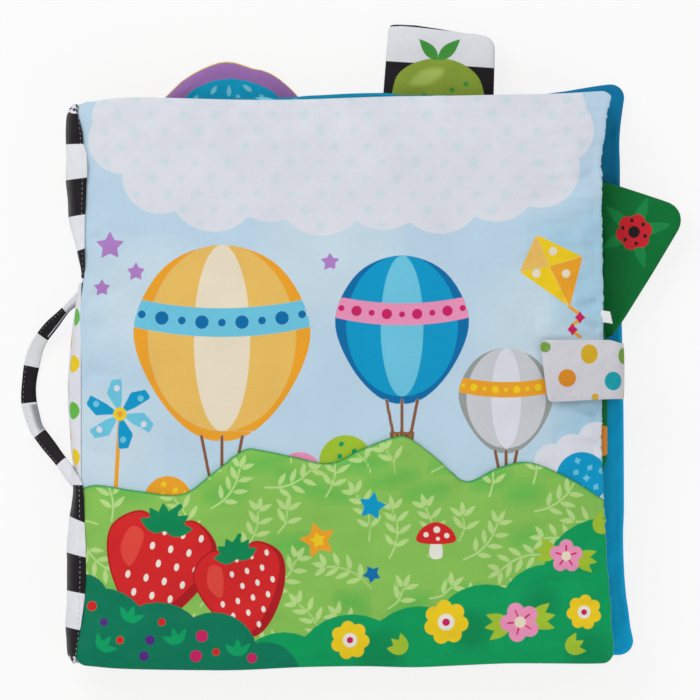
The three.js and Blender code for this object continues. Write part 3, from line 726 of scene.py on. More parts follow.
def sprigs(p, ink, places, length, laid=np.empty((0, 2)), apart=7.0):
    """Slender stems with leaves in pairs, laid clear of each other. Returns the places taken."""
    for x, y, turn in places:
        pairs = max(2, round(length / 5.4))
        t = np.linspace(-0.5, 0.5, pairs + 1)
        a = turn + 0.5 * t
        line = np.stack([x + length * t * np.cos(a), y + length * t * np.sin(a)], -1)
        if laid.size and np.hypot(*(laid[:, None] - line).T).min() < apart:
            continue
        p.stroke(ink, line, 0.85)
        own = []
        for k, side in [(k, side) for k in range(1, pairs + 1) for side in (-1, 1)] + [(pairs, 0)]:
            size = 7.4 - 0.5 * abs(k - pairs / 2)
            tip = line[k] + size * np.array([math.cos(a[k] + side * 0.85), math.sin(a[k] + side * 0.85)])
            middle = (line[k] + tip) / 2
            if not laid.size or np.hypot(*(laid - middle).T).min() > 4.4:
                p.leaf(ink, *(line[k] + (tip - line[k]) * 0.12), a[k] + side * 0.85, size, 2.3)
                own.append(middle)
        laid = np.concatenate([laid, np.array(own).reshape(-1, 2), line])
    return laid


def strawberry(p, x, y, r, turn=0.0):
    def put(points):
        return turned(np.array(points) * r, turn, x, y)

    outline = put(curve([(0, 0.72), (0.5, 0.92), (0.96, 0.55), (0.88, -0.1), (0.45, -0.78), (0, -1.06),
                         (-0.45, -0.78), (-0.88, -0.1), (-0.96, 0.55), (-0.5, 0.92)]))
    p.stroke("red_shade", np.concatenate([outline, outline[:1]]), 1.5, False)
    p.shape("red_shade", outline)
    p.shape("red", put(curve([(0, 0.72), (0.5, 0.92), (0.9, 0.52), (0.74, -0.1), (0.3, -0.72), (-0.08, -0.98),
                              (-0.45, -0.78), (-0.88, -0.1), (-0.96, 0.55), (-0.5, 0.92)])))
    p.shape("rose", put(curve([(-0.62, 0.62), (-0.36, 0.5), (-0.5, -0.1), (-0.74, 0.2)])))
    for i in range(-3, 4):
        for j in range(-4, 3):
            u, v = i * 0.34 + (j % 2) * 0.17, j * 0.3 + 0.05
            if abs(u) < 0.78 - 0.3 * max(0, -v) * 1.6 and v > -0.85 and not (u < -0.3 and v > 0):
                p.dot("seed", *put([(u, v)])[0], r * 0.035 + 0.25, r * 0.06 + 0.3, turn)
    for k in range(6):
        a = math.pi * (k + 0.5) / 6
        p.leaf("leaf_green", *put([(0, 0.66)])[0], a + turn, r * 0.52, r * 0.26)
    p.stroke("leaf_green", put([(0, 0.7), (0.05, 0.95), (0.18, 1.15)]), r * 0.1)


MOUTH = [px(a, b) for a, b in ((78, 491), (96, 485), (140, 491), (182, 494), (214, 472), (244, 450), (262, 450),
                               (296, 457), (330, 463), (362, 449), (391, 438), (409, 437), (438, 458), (466, 481),
                               (498, 468), (530, 462), (568, 477), (603, 499), (612, 503))]


def pocket_art(p):
    r = np.random.default_rng(3)
    for k in range(16):
        p.dot("hill_deep", *px(95 + k * 33, 478 + 17 * math.sin(k * 2.1)), r.uniform(7, 13), r.uniform(2.5, 5),
              r.uniform(-0.6, 0.6))
    for k in range(9):
        p.dot("hill_deep", *px(120 + k * 58, r.uniform(530, 610)), r.uniform(6, 12), r.uniform(3, 5),
              r.uniform(-0.6, 0.6))
    laid = np.empty((0, 2))
    for count, length, apart in ((420, 22, 7.4), (500, 11, 6.0)):
        tries = zip(r.uniform(85, 605, count), r.uniform(446, 660, count), r.normal(1.45, 0.75, count))
        laid = sprigs(p, "sprig", [(*px(x, y), turn) for x, y, turn in tries], length, laid, apart)
    p.stroke("hem", [(x, y - 0.1) for x, y in MOUTH], 1.1)
    discs(p, "bush", (604, 580, 62), (548, 614, 50), (486, 640, 56), (420, 668, 62), (352, 674, 60), (284, 684, 52),
          (610, 640, 70), (190, 700, 60))
    discs(p, "bush_shade", (540, 604, 18), (470, 630, 20), (380, 652, 24), (590, 652, 22))
    # toadstool
    x, y = px(436, 540)
    p.blob("seed", (x - 2.6, y - 7.5), (x + 2.6, y - 7.5), (x + 2, y), (x - 2, y))
    p.blob("red", (x - 8.5, y - 0.5), (x - 6.5, y + 5), (x, y + 8), (x + 6.5, y + 5), (x + 8.5, y - 0.5),
           (x, y - 1.8))
    for u, v, q in ((-4.4, 2.4, 1.2), (0.3, 4.6, 1.5), (4.7, 2, 1.2), (0.8, 0.6, 0.9)):
        p.dot("seed", x + u, y + v, q)
    for ink, cx, cy, size, turn in (("orange", 318, 540, 8.4, 0.25), ("yellow", 318, 540, 3.8, 0.25),
                                    ("blue", 372, 506, 6.6, -0.2), ("berry_blue", 372, 574, 4.4, 0.5)):
        star(p, ink, *px(cx, cy), size, 5, turn, 0.52)
    strawberry(p, *px(158, 566), 24, -0.2)
    strawberry(p, *px(243, 588), 20, 0.22)
    # flowers
    for cx, cy, q, turn in ((566, 556, 1.0, 0.3), (520, 622, 1.2, 0.7)):
        x, y = px(cx, cy)
        for a in (2.6 + turn, turn - 0.5):
            sprout(p, "yellow_green", x + 4 * math.cos(a), y + 4 * math.sin(a), a, 0.5, 10 * q, 4 * q)
        petals(p, "pink", x, y, 4.3 * q, 5, 3.1 * q, turn)
        for k in range(5):
            p.stroke("magenta", turned([(1.8 * q, 0), (4.6 * q, 0)], turn + 2 * math.pi * k / 5, x, y), 0.8, False)
        p.dot("cream", x, y, 2.1 * q)
    for cx, cy, q in ((584, 612, 0.9), (446, 622, 1.15), (350, 640, 1.0)):
        x, y = px(cx, cy)
        petals(p, "yellow", x, y, 5.6 * q, 7, 3.0 * q, cx)
        for ink, size in (("yellow", 5), ("seed", 3.2), ("magenta", 1.5)):
            p.dot(ink, x, y, size * q)
    for cx, cy, turn in ((594, 530, 0.6), (406, 652, 2.4), (566, 650, 0.5)):
        sprout(p, "yellow_green", *px(cx, cy), turn, 0.55, 9, 4)
    # dark bush with berries
    discs(p, "dark_bush", (266, 676, 34), (214, 656, 44), (158, 652, 50), (102, 636, 48), (84, 598, 24))
    for cx, cy, turn in ((238, 656, 1.6), (128, 622, 1.2), (178, 644, 1.9), (100, 650, 0.9)):
        sprout(p, "bush_leaf", *px(cx, cy), turn, 0.8, 8, 3.0)
    discs(p, "magenta", (202, 636, 6), (196, 656, 6), (252, 658, 5))
    discs(p, "red", (216, 652, 4), (92, 606, 5), (120, 640, 4), (162, 622, 4))
    discs(p, "berry", (150, 640, 5), (144, 656, 5), (104, 622, 4))


POCKET_INKS = [("hill_deep", (104, 188, 80), 4.5), ("sprig", SPRIG), ("hem", (40, 160, 84), 0.5), ("bush", BUSH),
               ("bush_shade", (0, 140, 82), 4.0), ("yellow_green", YELLOW_GREEN), ("pink", PINK),
               ("red_shade", (176, 22, 30)), ("red", RED), ("rose", (228, 72, 60)), ("leaf_green", (0, 135, 82)),
               ("blue", BLUE), ("berry_blue", DEEP_BLUE), ("orange", ORANGE), ("yellow", YELLOW),
               ("dark_bush", DARK_BUSH), ("bush_leaf", BUSH_LEAF), ("berry", (84, 40, 130)), ("magenta", MAGENTA),
               ("cream", CREAM), ("seed", (240, 236, 225))]


# Front cover

def crease(points, start, end, wide, begin=0, past=0):
    """The depth, from 0 to 1, of a crease from start to end, in pixels of the photograph. It
    deepens over the first stretch, begin, and fades out towards its end and a little past it."""
    x, y, a, b = points[..., 0], points[..., 1], px(*start), px(*end)
    away = np.hypot(x - a[0], y - a[1])
    fade = 1 - smooth(away, 4, math.dist(a, b) + past)
    if begin:
        fade *= smooth(away, 0, begin)
    return np.exp(-(stroke_distance(x, y, [a, b], 0) / wide) ** 2) * fade


s, t = fine_line(300), fine_line(318)
outer = leaf_grid(cover_plan, COVER_Z, 1.8, s, t, 1, 0, COVER_EDGES, COVER_CORNER, FRILL)
for start, end, depth, wide in (
        ((603, 300), (580, 308), 0.9, 2.8), ((557, 291), (578, 315), 0.9, 2.2), ((581, 236), (594, 250), 0.7, 2.2),
        ((530, 315), (537, 334), 0.4, 2.2), ((603, 268), (572, 256), 0.8, 2.8), ((603, 332), (582, 322), 0.7, 2.4),
        ((603, 415), (578, 408), 0.8, 2.6), ((604, 452), (580, 438), 0.9, 2.8), ((602, 236), (586, 232), 0.6, 2.2),
        ((602, 150), (582, 145), 0.7, 2.4), ((600, 174), (574, 180), 0.8, 2.8), ((604, 118), (588, 111), 0.6, 2.2),
        ((83, 300), (122, 290), 0.6, 3.4), ((83, 372), (112, 378), 0.5, 3.0), ((84, 236), (104, 240), 0.5, 2.6)):
    outer[..., 2] -= 1.9 * depth * crease(outer, start, end, 0.85 * wide, 5, 4)
front_outer = mesh_object("front_cover_outer", outer, grid_faces(t.size, s.size),
                          [cloth("cover_sky_print", SKY, COVER_INKS)])
print_on(front_outer, outer, cover_art, COVER_INKS)
declare(front_outer, "cover_print", "front_cover_outer_cloth", "front_cover_padding", "front_cover_crinkle_film",
        body="front_cover", fill=0.4)


def spots(ink, pitch, radius):
    def art(p):
        for i in range(-14, 15):
            for j in range(-14, 15):
                x, y = (i + (j % 2) * 0.5) * pitch, j * pitch * 0.8
                if abs(x) < 125 and abs(y) < 150:
                    p.dot(ink, x, y, radius)
    return art


LINING_INKS = [("lining_dot", (250, 235, 190)), ("rim", (150, 185, 205), 0.3)]
s2, t2 = fine_line(124), fine_line(132)
inner = leaf_grid(cover_plan, COVER_Z, 0, s2, t2, -1, 0, COVER_EDGES, COVER_CORNER, FRILL)
front_inner = mesh_object("front_cover_inner", inner, grid_faces(t2.size, s2.size, flip=True),
                          [cloth("cover_lining", (243, 205, 70), LINING_INKS)])


def lining_art(p):
    """Dots, and the print's blue that turns in over the seam."""
    spots("lining_dot", 16, 3.2)(p)
    for line in (inner[0], inner[-1], inner[:, 0], inner[:, -1]):
        p.stroke("rim", line[:, :2], 1.4, False)


print_on(front_inner, inner, lining_art, LINING_INKS)
declare(front_inner, "cover_lining", "front_cover_inner_cloth", body="front_cover", fill=0.4)


# Pages and back cover

def stripes(ink, pitch, width):
    def art(p):
        for k in range(-24, 25):
            p.stroke(ink, [(k * pitch - 75, -150), (k * pitch + 75, 150)], width, False)
    return art


def waves(ink, pitch):
    def art(p):
        for k in range(-9, 10):
            y = k * pitch
            line = [(x, y + 5 * math.sin(x * 0.11 + k)) for x in np.arange(-120, 121, 6)]
            for a in range(0, len(line) - 5, 6):
                p.stroke(ink, line[a:a + 5], 2.6)
    return art


def stars(ink, pitch):
    def art(p):
        for i in range(-8, 9):
            for j in range(-8, 9):
                x, y = (i + (j % 2) * 0.5) * pitch, j * pitch * 0.85
                if abs(x) < 98 and -125 < y < 92:
                    star(p, ink, x, y, 5.5, 5, i * 0.4 + j)
    return art


def scattered(ink):
    def art(p):
        r = np.random.default_rng(5)
        sprigs(p, ink, [(-108 + i * 26 + (j % 2) * 13, -122 + j * 25, r.uniform(0, 6.3))
                        for i in range(9) for j in range(10)], 17)
    return art


def with_field(art):
    """A page's art with a green field and a round bush at its fore edge."""
    def drawn(p):
        art(p)
        p.blob("field", (70, -150), (74, -60), (88, -20), (100, 6), (130, 14), (130, -150))
        p.dot("fruit", 108, -41.5, 10, 7)
    return drawn


FIELD = [("field", (0, 112, 52), 0.2), ("fruit", (232, 148, 48), 0.2)]
# Painted shade at the back cover's head, where the front cover and the flap overhang it.
SHADE = [("head_shade", (0, 122, 172), 8.5)]


def with_shade(art):
    """The back cover's art, with painted shade, a deeper blue, at its head, where the front cover and the flap
    overhang it.
    """
    def drawn(p):
        art(p)
        p.shape("head_shade", [(90, 58), (135, 58), (135, 130), (-130, 130), (-130, 100), (80, 100)])
    return drawn


def leaf(name, slot, plan, z, turn, edges, body, over, under):
    """A whole leaf in one piece. Over and under are (cloth's node, colour, ink colour, art); the
    names of the leaf's solids begin with its body's name."""
    grids, inks, materials = [], [], []
    for k, side, (_, colour, ink_colour, _) in (("front", 1, over), ("back", -1, under)):
        inks.append([(f"{k}_ink", ink_colour, 0.2)])
        if side > 0:
            inks[0] += FIELD if "page" in name else SHADE
        materials.append(cloth(f"{name}_{k}_cloth", colour, inks[-1]))
        grids.append(leaf_grid(plan, z, 0, s2, t2, side, turn, edges))
    top, low = grids
    top[..., 2] += 0.15
    low[..., 2] = np.maximum(low[..., 2] - 0.15, 0.02)
    o = slab(name, top, low, materials)
    print_on(o, top, over[3], inks[0])
    print_on(o, low, under[3], inks[1], top.shape[0] * top.shape[1])
    declare(o, slot, *[f"{body}_{k}" for k in (over[0], under[0], "padding", "crinkle_film")], body=body, fill=0.4)
    return o


page_1 = leaf("page_1", "page_teal", page_1_plan, PAGE_1_Z, 1, PAGE_1_EDGES, "leaf_1",
              ("front_cloth", TEAL, (120, 205, 228), with_field(waves("front_ink", 14))),
              ("back_cloth", (0, 115, 55), (60, 165, 80), scattered("back_ink")))
leaf("page_2", "page_purple", page_2_plan, PAGE_2_Z, 2, PAGE_2_EDGES, "leaf_2",
     ("front_cloth", PURPLE, (190, 150, 210), with_field(stars("front_ink", 24))),
     ("back_cloth", (218, 140, 36), (240, 190, 100), stripes("back_ink", 13, 4.5)))
back = leaf("back_leaf", "back_blue", back_plan, BACK_Z, 3, BACK_EDGES, "back_cover",
            ("inner_cloth", (0, 172, 230), (90, 190, 225), with_shade(stars("front_ink", 30))),
            ("outer_cloth", (0, 142, 198), (70, 175, 215), spots("back_ink", 15, 2.6)))


# Leafy pocket

def pocket_grid(rows, columns):
    """Points over the cover, from the folded mouth down to the foot seam."""
    line = curve(MOUTH, closed=False, steps=8)
    grid = np.empty((rows, columns, 3))
    depth = np.linspace(0, 1, rows) ** 1.15
    for c, across in enumerate(fine_line(columns) * 0.9995):
        at = np.searchsorted(s, across) - 1
        share = (across - s[at]) / (s[at + 1] - s[at])
        column = outer[:, at] * (1 - share) + outer[:, at + 1] * share
        mouth_y = np.interp(column[t.size // 3, 0], line[:, 0], line[:, 1])
        y = mouth_y + (column[:, 1].min() + 0.12 - mouth_y) * depth
        for k in range(3):
            grid[:, c, k] = y if k == 1 else np.interp(y, column[:, 1], column[:, k])
    down = grid[0, :, 1][None] - grid[..., 1]
    side = np.minimum(np.abs(grid[..., 0] - grid[:, :1, 0]), np.abs(grid[..., 0] - grid[:, -1:, 0]))
    foot = grid[..., 1] - grid[-1:, :, 1]
    free = smooth(side, 0, 16) * smooth(foot, 0, 22)
    roll = np.sqrt(1 - (1 - np.clip(down / 2.6, 0, 1)) ** 2)
    lift = 0.35 + (0.35 + 1.3 * free) * roll + 1.5 * free * np.exp(-((down - 16) / 17) ** 2) * roll
    lift += 0.45 * ripple(grid[..., 0], grid[..., 1], 21, 26) * free * smooth(down, 1, 9)
    for start, end, deep, wide in (((466, 481), (512, 503), 1.1, 3.6), ((466, 481), (440, 505), 0.6, 3.2),
                                   ((182, 493), (172, 520), 0.9, 3.4), ((182, 493), (215, 512), 0.6, 4.0),
                                   ((330, 463), (322, 492), 0.5, 4.5), ((100, 486), (112, 512), 0.5, 4)):
        lift -= deep * crease(grid, start, end, wide)
    lift = np.maximum(lift, 0.25)
    for away in (side, foot):
        lift *= 0.25 + 0.75 * smooth(away, 0, 5)
    grid[..., 2] += lift + 0.12
    turned_in = grid[:1] - (0, 1.6, 0.05)
    return np.concatenate([turned_in, grid])


pocket_points = pocket_grid(150, 320)
pocket = mesh_object("leafy_pocket", pocket_points, grid_faces(*pocket_points.shape[:2], flip=True),
                     [cloth("pocket_leaf_print", HILL, POCKET_INKS, rumple=0.35)])
print_on(pocket, pocket_points, pocket_art, POCKET_INKS)
declare(pocket, "foliage_print", "foliage_pocket", body="front_cover")


# Spine, striped ribbon and carrying loop: the spine is half an oval, deeper where it swells

SPINE_FOOT, SPINE_HEAD, SPINE_X = -139.4, 106.6, -119.0
SPINE_Z, SPINE_HALF = 16.1, 12.3
PAGE_ANGLE = math.asin((PAGE_1_Z - SPINE_Z) / SPINE_HALF)
LEAF_MIDDLE, LEAF_HALF = -15.2, 124.5
SPINE_CLOTH = 0.4               # mm, half of its thickness
STRAP_FROM, STRAP_TO = -0.2, 1.42       # the angles between which the ribbon wraps the spine
LOBES = curve([(-139.4, 2.0), (-138, 3.2), (-135.7, 4.5), (-129, 5.1), (-122.5, 5.5), (-109.3, 4.8), (-89.5, 4.7),
               (-76.3, 3.8), (-69.7, 2.6), (-63.1, 2.1), (-54.3, 3.2), (-41.1, 4.6), (-19.1, 5.7), (-1.5, 4.6),
               (16.1, 2.6), (23, 1.5), (29.3, 0.4), (34, 0.4), (38, 0.8), (42.5, 1.3), (49.1, 2.5), (55.7, 3.8),
               (62.3, 4.3), (68.9, 4.8),
               (75.5, 5.1), (82.1, 5.1), (95.3, 5.3), (101.9, 4.9), (105, 3.6), (106.6, 2.2)], closed=False)


def spine_point(y, angle, off):
    """A point on the spine cloth, or off it by so many millimetres."""
    reach = np.interp(y, LOBES[:, 0], LOBES[:, 1]) + 0.15 * ripple(y, angle * 9, 31, 22)
    nx, nz = np.cos(angle) / reach, np.sin(angle) / SPINE_HALF
    size = np.hypot(nx, nz)
    notch = np.interp((y - LEAF_MIDDLE) / LEAF_HALF, *SPINE_NOTCH)
    return np.stack([SPINE_X + notch - reach * np.cos(angle) - off * nx / size, y + 0 * angle,
                     SPINE_Z + SPINE_HALF * np.sin(angle) + off * nz / size], -1)


def lengths(points):
    """How far along a line each of its points lies."""
    return np.concatenate([[0], np.cumsum(np.linalg.norm(np.diff(points, axis=0), axis=1))])


def spine_bend(low, high):
    return (-124, 0, low), (-124, 0, high)


spine_turns = np.linspace(-math.pi / 2, math.pi / 2, 61)
spine_arcs = lengths(np.stack([5 * np.cos(spine_turns), SPINE_HALF * np.sin(spine_turns)], -1))
SPINE_DOTS = [(24.0 - row * 9.5, 13.0 - k * 20.6 - (row % 2) * 10.3, 3.9,
               ("spine_green", "spine_yellow")[(k + row) % 2])
              for k in range(-5, 8) for row in range(3)]
SPINE_DOTS += [(18.0, -39.8 - k * 41.2, 1.6, "spine_orange") for k in range(-4, 3)]
SPINE_INKS = [("spine_green", (100, 186, 66)), ("spine_yellow", (240, 206, 24)), ("spine_orange", (240, 150, 40))]
spine_cloth = cloth("spine_dotted_cloth", (228, 229, 236), SPINE_INKS, rumple=0.5)


def spine_art(p):
    for x, y, r, ink in SPINE_DOTS:
        p.dot(ink, x, y, r)


for part, low, high, first, second, z0, z1 in (
        ("lower", -math.pi / 2, -PAGE_ANGLE - 0.025, "back_cover", "leaf_2", 4, 12),
        ("middle", -PAGE_ANGLE, PAGE_ANGLE, "leaf_2", "leaf_1", 12, 20),
        ("upper", PAGE_ANGLE + 0.025, math.pi / 2, "leaf_1", "front_cover", 21, 28)):
    y, angle = np.meshgrid(np.linspace(SPINE_FOOT, SPINE_HEAD, 200), np.linspace(low, high, 16), indexing="ij")
    over, under = (spine_point(y, angle, off) for off in (SPINE_CLOTH, -SPINE_CLOTH))
    o = slab(f"spine_{part}", over, under, [spine_cloth])
    flat = np.stack([np.interp(angle, spine_turns, spine_arcs), y], -1)
    print_on(o, np.concatenate([flat, flat]), spine_art, SPINE_INKS)
    declare(o, "spine_dots", f"spine_cloth_{part}", bend=(first, second, *spine_bend(z0, z1)))

ribbon = cloth("striped_ribbon", (232, 233, 239),
               [("fold_shade", (150, 155, 162), 0.5), ("stripe_black", BLACK, 0.12)],
               weave=0.8, depth=0.9, rumple=0.3, sheen=0.08)
BEND_COVER = ("leaf_1", "front_cover", *spine_bend(21, 28))


def mark(o, ink, values):
    a = o.data.attributes.new(ink, "FLOAT", "POINT")
    a.data.foreach_set("value", np.asarray(values, np.float32))


def strap(name, rows, edge, stripe_rows, slants, node_name, raw_end):
    """A run of ribbon down the spine, between two rows of the photograph. Edge gives its right
    edge and stripe_rows its black stripes, by the same rows; slants says how steeply the stripes
    rise to the right, from foot to head. The raw end is 1 at the head, where the other end then
    narrows to a point, or -1 at the foot."""
    head, foot = (px(0, r)[1] for r in rows)
    bands = [px(0, r)[1] for r in stripe_rows]
    y = np.linspace(foot, head, 120)
    right = np.interp(y, *np.array([px(*p)[::-1] for p in edge])[::-1].T)
    yy, aa = np.meshgrid(y, np.linspace(STRAP_FROM, STRAP_TO, 20), indexing="ij")
    taper = 1 - smooth(-yy, -43, -30.6) if raw_end > 0 else np.ones_like(yy)
    aa = STRAP_TO - (STRAP_TO - aa) * (0.15 + 0.85 * taper)
    faces = []
    for off in (1.75, 0.85):
        wrap = spine_point(yy, aa, off * (0.55 + 0.45 * taper))
        wrap[..., 0] = np.minimum(wrap[..., 0], right[:, None])
        last = wrap[:, -1]
        level = last[:, 2] + (29.5 + off * 0.5 - last[:, 2]) * smooth(right - last[:, 0], 0, 2.5)
        onto = np.stack([last * (1 - f) + np.stack([right, y, level], -1) * f for f in (0.25, 0.5, 0.75, 1)], 1)
        grid = np.concatenate([wrap, onto], 1)
        grid[..., 2] += 0.25 * ripple(grid[..., 0], grid[..., 1], 37, 13)
        faces.append(grid)
    o = slab(name, *faces, [ribbon])
    x, y = faces[0][..., 0].ravel(), faces[0][..., 1].ravel()
    line = y - (x + 122) * np.interp(y, *np.array(slants).T)
    d = np.min([np.maximum(line - top, low - line) for top, low in zip(bands[::2], bands[1::2])], 0)
    outside = (line - bands[0 if raw_end > 0 else -1]) * raw_end
    near_end = np.abs(line - (head + foot) / 2) > (head - foot) / 2 - 5
    d = np.where((outside > 0) & near_end, 0.5 * ripple(x * 1.3, line, 61, 3.2) + 0.05, np.minimum(d, NO_INK))
    mark(o, "stripe_black", np.concatenate([d, d]))
    mark(o, "fold_shade", np.full(2 * d.size, NO_INK))
    declare(o, "strap_stripes", node_name, bend=BEND_COVER)
    return faces[0]


upper_strap = strap(
    "striped_strap_upper", (104, 278),
    ((77, 104), (77.4, 113), (80.5, 124), (82.7, 134), (83.5, 144), (87, 153), (87.5, 170), (86.5, 185), (85.8, 205),
     (85, 216), (84.6, 250), (84.8, 268), (83.6, 278)),
    (113, 144, 179, 216, 252, 284), [(40, 0.35), (43, 0.35), (57, 0.16), (74, 0.12), (90, 0)], "spine_strap_upper", 1)
lower_strap = strap(
    "striped_strap_lower", (466, 664),
    ((71.5, 466), (75, 471), (79, 477), (82.5, 484), (84, 500), (84.5, 520), (86, 545), (86, 575), (84.5, 600),
     (80.7, 627), (78.2, 638), (76, 650), (75, 664)), (485, 518.5, 554.6, 592, 629, 657),
    [(-125, -0.2), (-108, -0.18), (-91, -0.25), (-76, -0.42), (-68, -0.42), (-62, 0)], "spine_strap_lower", -1)

SIDES = 24
loop_line = curve([px(x, y, 6) for x, y in (
    (88, 288), (83.5, 293.5), (76, 300.8), (66, 310), (57, 319.8), (50, 327.4), (41.7, 338), (35.5, 350), (31, 368),
    (28.5, 388), (29, 404), (32, 416), (36, 428), (44.5, 440), (54, 452), (63.5, 464), (73, 476), (82, 487),
    (87, 493))], closed=False, steps=12)
loop_line = np.stack([*loop_line.T, 18.6 - 17.4 * smooth(-loop_line[:, 0], 118.3, 142.6)], -1)
count = len(loop_line)
along = lengths(loop_line)


def unit(vectors):
    return vectors / np.linalg.norm(vectors, axis=1)[:, None]


tangent = unit(np.gradient(loop_line, axis=0))
sideways = unit(np.cross(tangent, [0, 0, 1]))
upward = np.cross(sideways, tangent)
around = np.linspace(0, 2 * math.pi, SIDES + 1)[:-1]
half_wide = 2.95 + 0.4 * smooth(-loop_line[:, 0], 132, 142) + 0.15 * np.sin(along * 0.31)
half_wide -= np.interp(along, [0, 7.6, 13.6, 19.6, 28, 36], [0.7, 0.85, 1.0, 0.7, 0.2, 0])
section = [np.sign(w) * np.abs(w) ** power for w, power in ((np.cos(around), 0.55), (np.sin(around), 0.75))]
fold = 0.28 * np.exp(-((np.cos(around) - 0.35) / 0.16) ** 2)
tilt = 0.16 * np.sin(along * 0.043 + 0.5)
out_by = section[0] * half_wide[:, None]
up_by = section[1] * (1.0 - fold) + tilt[:, None] * section[0]
loop_points = loop_line[:, None] + sideways[:, None] * out_by[..., None] + upward[:, None] * up_by[..., None]
loop_points[..., 2] = np.maximum(loop_points[..., 2], 0.05)
loop_faces = ring_faces(count, SIDES)[:, [0, 3, 2, 1]].tolist()
loop_faces += [list(range(SIDES)), list(range((count - 1) * SIDES, count * SIDES))[::-1]]
loop = mesh_object("carrying_loop", loop_points, loop_faces, [ribbon])
marks = [along[np.argmin(np.hypot(*(loop_line[:, :2] - px(*m)).T))]
         for m in ((64.8, 310.5), (42.6, 337), (31, 367), (29, 403), (40, 434), (62, 462))]
d = np.min([np.maximum(marks[k] - along, along - marks[k + 1]) for k in (0, 2, 4)] + [np.full(count, NO_INK)], 0)
d = np.repeat(d, SIDES).reshape(count, SIDES)
edge_of_fold = (along > marks[0]) & (along < marks[1] - 1.5)
d[edge_of_fold, 7:10] = -0.25, 0.12, -0.25
mark(loop, "stripe_black", d.ravel())
within = np.maximum(marks[3] + 1.0 - along, along - marks[4] + 0.3), np.maximum(4.5 - along, along - marks[0])
inner_side = (np.cos(around) + 0.1)[None] * half_wide[:, None]
mark(loop, "fold_shade", np.maximum(np.minimum(*within)[:, None], inner_side).ravel())
declare(loop, "strap_stripes", "handle_loop", body="handle")
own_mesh(loop)


# Closing strap

CLOSURE_INKS = [("ochre", (214, 172, 34)), ("amber", (220, 140, 35)), ("sea", (25, 160, 175)),
                ("fresh", (115, 162, 60))]
closure_cloth = cloth("closure_dotted_cloth", (214, 213, 220), CLOSURE_INKS, rumple=0.4)
CLOSE_FOOT, CLOSE_HEAD, CORNER = -24.4, 2.9, 2.6
CLOSE_END, SIDE_TOP, SIDE_LOW, SIDE_X = 84.2, 29.4, 2.7, 119.35
WEB = 0.22                      # mm, half of the strap's thickness at its edges
CLOSE_MIDDLE, CLOSE_HALF = (CLOSE_HEAD + CLOSE_FOOT) / 2, (CLOSE_HEAD - CLOSE_FOOT) / 2
path = curve([(CLOSE_END, 35.25), (90, 35.15), (98, 35.35), (106, 35.3), (112.5, 34.95), (116.6, 34.1), (119.0, 31.9),
              (119.5, 29.0)], closed=False, steps=9)
run = lengths(path)


def closure_dots(p):
    for cx, cy, r, ry, ink in (
            (589, 354, 3.7, 4.3, "ochre"), (567, 378, 3.9, 3.9, "amber"), (613, 381, 3.8, 4.1, "sea"),
            (545, 347, 2.4, 2.4, "fresh"), (624, 356, 2.6, 3.6, "fresh"), (595, 397, 1.6, 1.6, "ochre"),
            (633, 396, 3.6, 3.6, "ochre"), (641, 349, 3.6, 3.6, "amber"), (655, 376, 3.8, 3.8, "fresh"),
            (674, 398, 3.6, 3.6, "amber"), (676, 350, 3.7, 3.7, "sea"), (694, 372, 3.8, 3.8, "ochre")):
        p.dot(ink, *px(cx, cy), r, ry)


def closing_strap(name, faces, flat, bend):
    o = slab(name, *faces, [closure_cloth])
    print_on(o, np.concatenate([flat, flat]), closure_dots, CLOSURE_INKS)
    declare(o, "closure_dots", f"closure_{name.split('_')[-1]}_strap", bend=bend, fill=0.3)


v = fine_line(44)
vv, from_end = np.meshgrid(v, np.linspace(0, run[-1], 84), indexing="ij")
cx, cz = np.interp(from_end, run, path[:, 0]), np.interp(from_end, run, path[:, 1])
normal = unit(np.stack([-np.gradient(cz[0]), np.gradient(cx[0])], -1))
narrow = np.where(from_end < CORNER, CORNER - np.sqrt(np.maximum(CORNER**2 - (CORNER - from_end) ** 2, 0)), 0)
yy = CLOSE_MIDDLE + vv * (CLOSE_HALF - narrow)
yy += 1.3 * smooth(from_end, 0, 34) * (1 - vv) / 2 - 1.5 * smooth(cx, 113, 119.6) * (1 + vv) / 2
slant = (3.0 * (1 - vv) / 2 - 1.2) * (1 - smooth(from_end, 0, 22))
bulge = (1 - np.abs(vv) ** 3) * smooth(from_end, 0, 5)
wave = 0.3 * ripple(cx, yy, 41, 15) * (1 - smooth(from_end, 30, 38))
closure_sides = []
for sign, thick in ((1, 0.42), (-1, 0.3)):
    offset = sign * (WEB + thick * bulge) + wave
    closure_sides.append(np.stack([cx + slant + normal[:, 0] * offset, yy, cz + normal[:, 1] * offset], -1))
closing_strap("closing_strap_end", closure_sides, np.stack([CLOSE_END + from_end + slant, yy], -1),
              ("closure_side", "closure_end", (120, -10, 30.0), (115.0, -10, 35.2)))

vv, zz = np.meshgrid(v, np.linspace(SIDE_TOP, SIDE_LOW, 44), indexing="ij")
yy = CLOSE_MIDDLE - 0.1 + vv * (CLOSE_HALF - 1.4)
side_x = SIDE_X + 0.15 * np.cos(zz / 9)
swell = 1 - np.abs(vv) ** 3
outside = np.stack([side_x + WEB + 0.42 * swell + 0.14 * ripple(zz, vv * 13, 43, 14), yy, zz], -1)
inside = np.stack([side_x - WEB - 0.2 * swell, yy, zz], -1)
closing_strap("closing_strap_side", (outside, inside), np.stack([CLOSE_END + run[-1] + SIDE_TOP - zz, yy], -1),
              ("back_cover", "closure_side", (119, 0, 2.6), (119, 0, 6.2)))


def cover_height(x, y):
    """Height of the front cover's cloth at places on it."""
    column = np.interp(x, outer[t.size // 2, :, 0], np.arange(s.size))
    row = np.interp(y, outer[:, s.size * 4 // 5, 1], np.arange(t.size))
    c, r = column.astype(int), row.astype(int)
    fc, fr, z = column - c, row - r, outer[..., 2]
    return (z[r, c] * (1 - fc) + z[r, c + 1] * fc) * (1 - fr) + (z[r + 1, c] * (1 - fc) + z[r + 1, c + 1] * fc) * fr


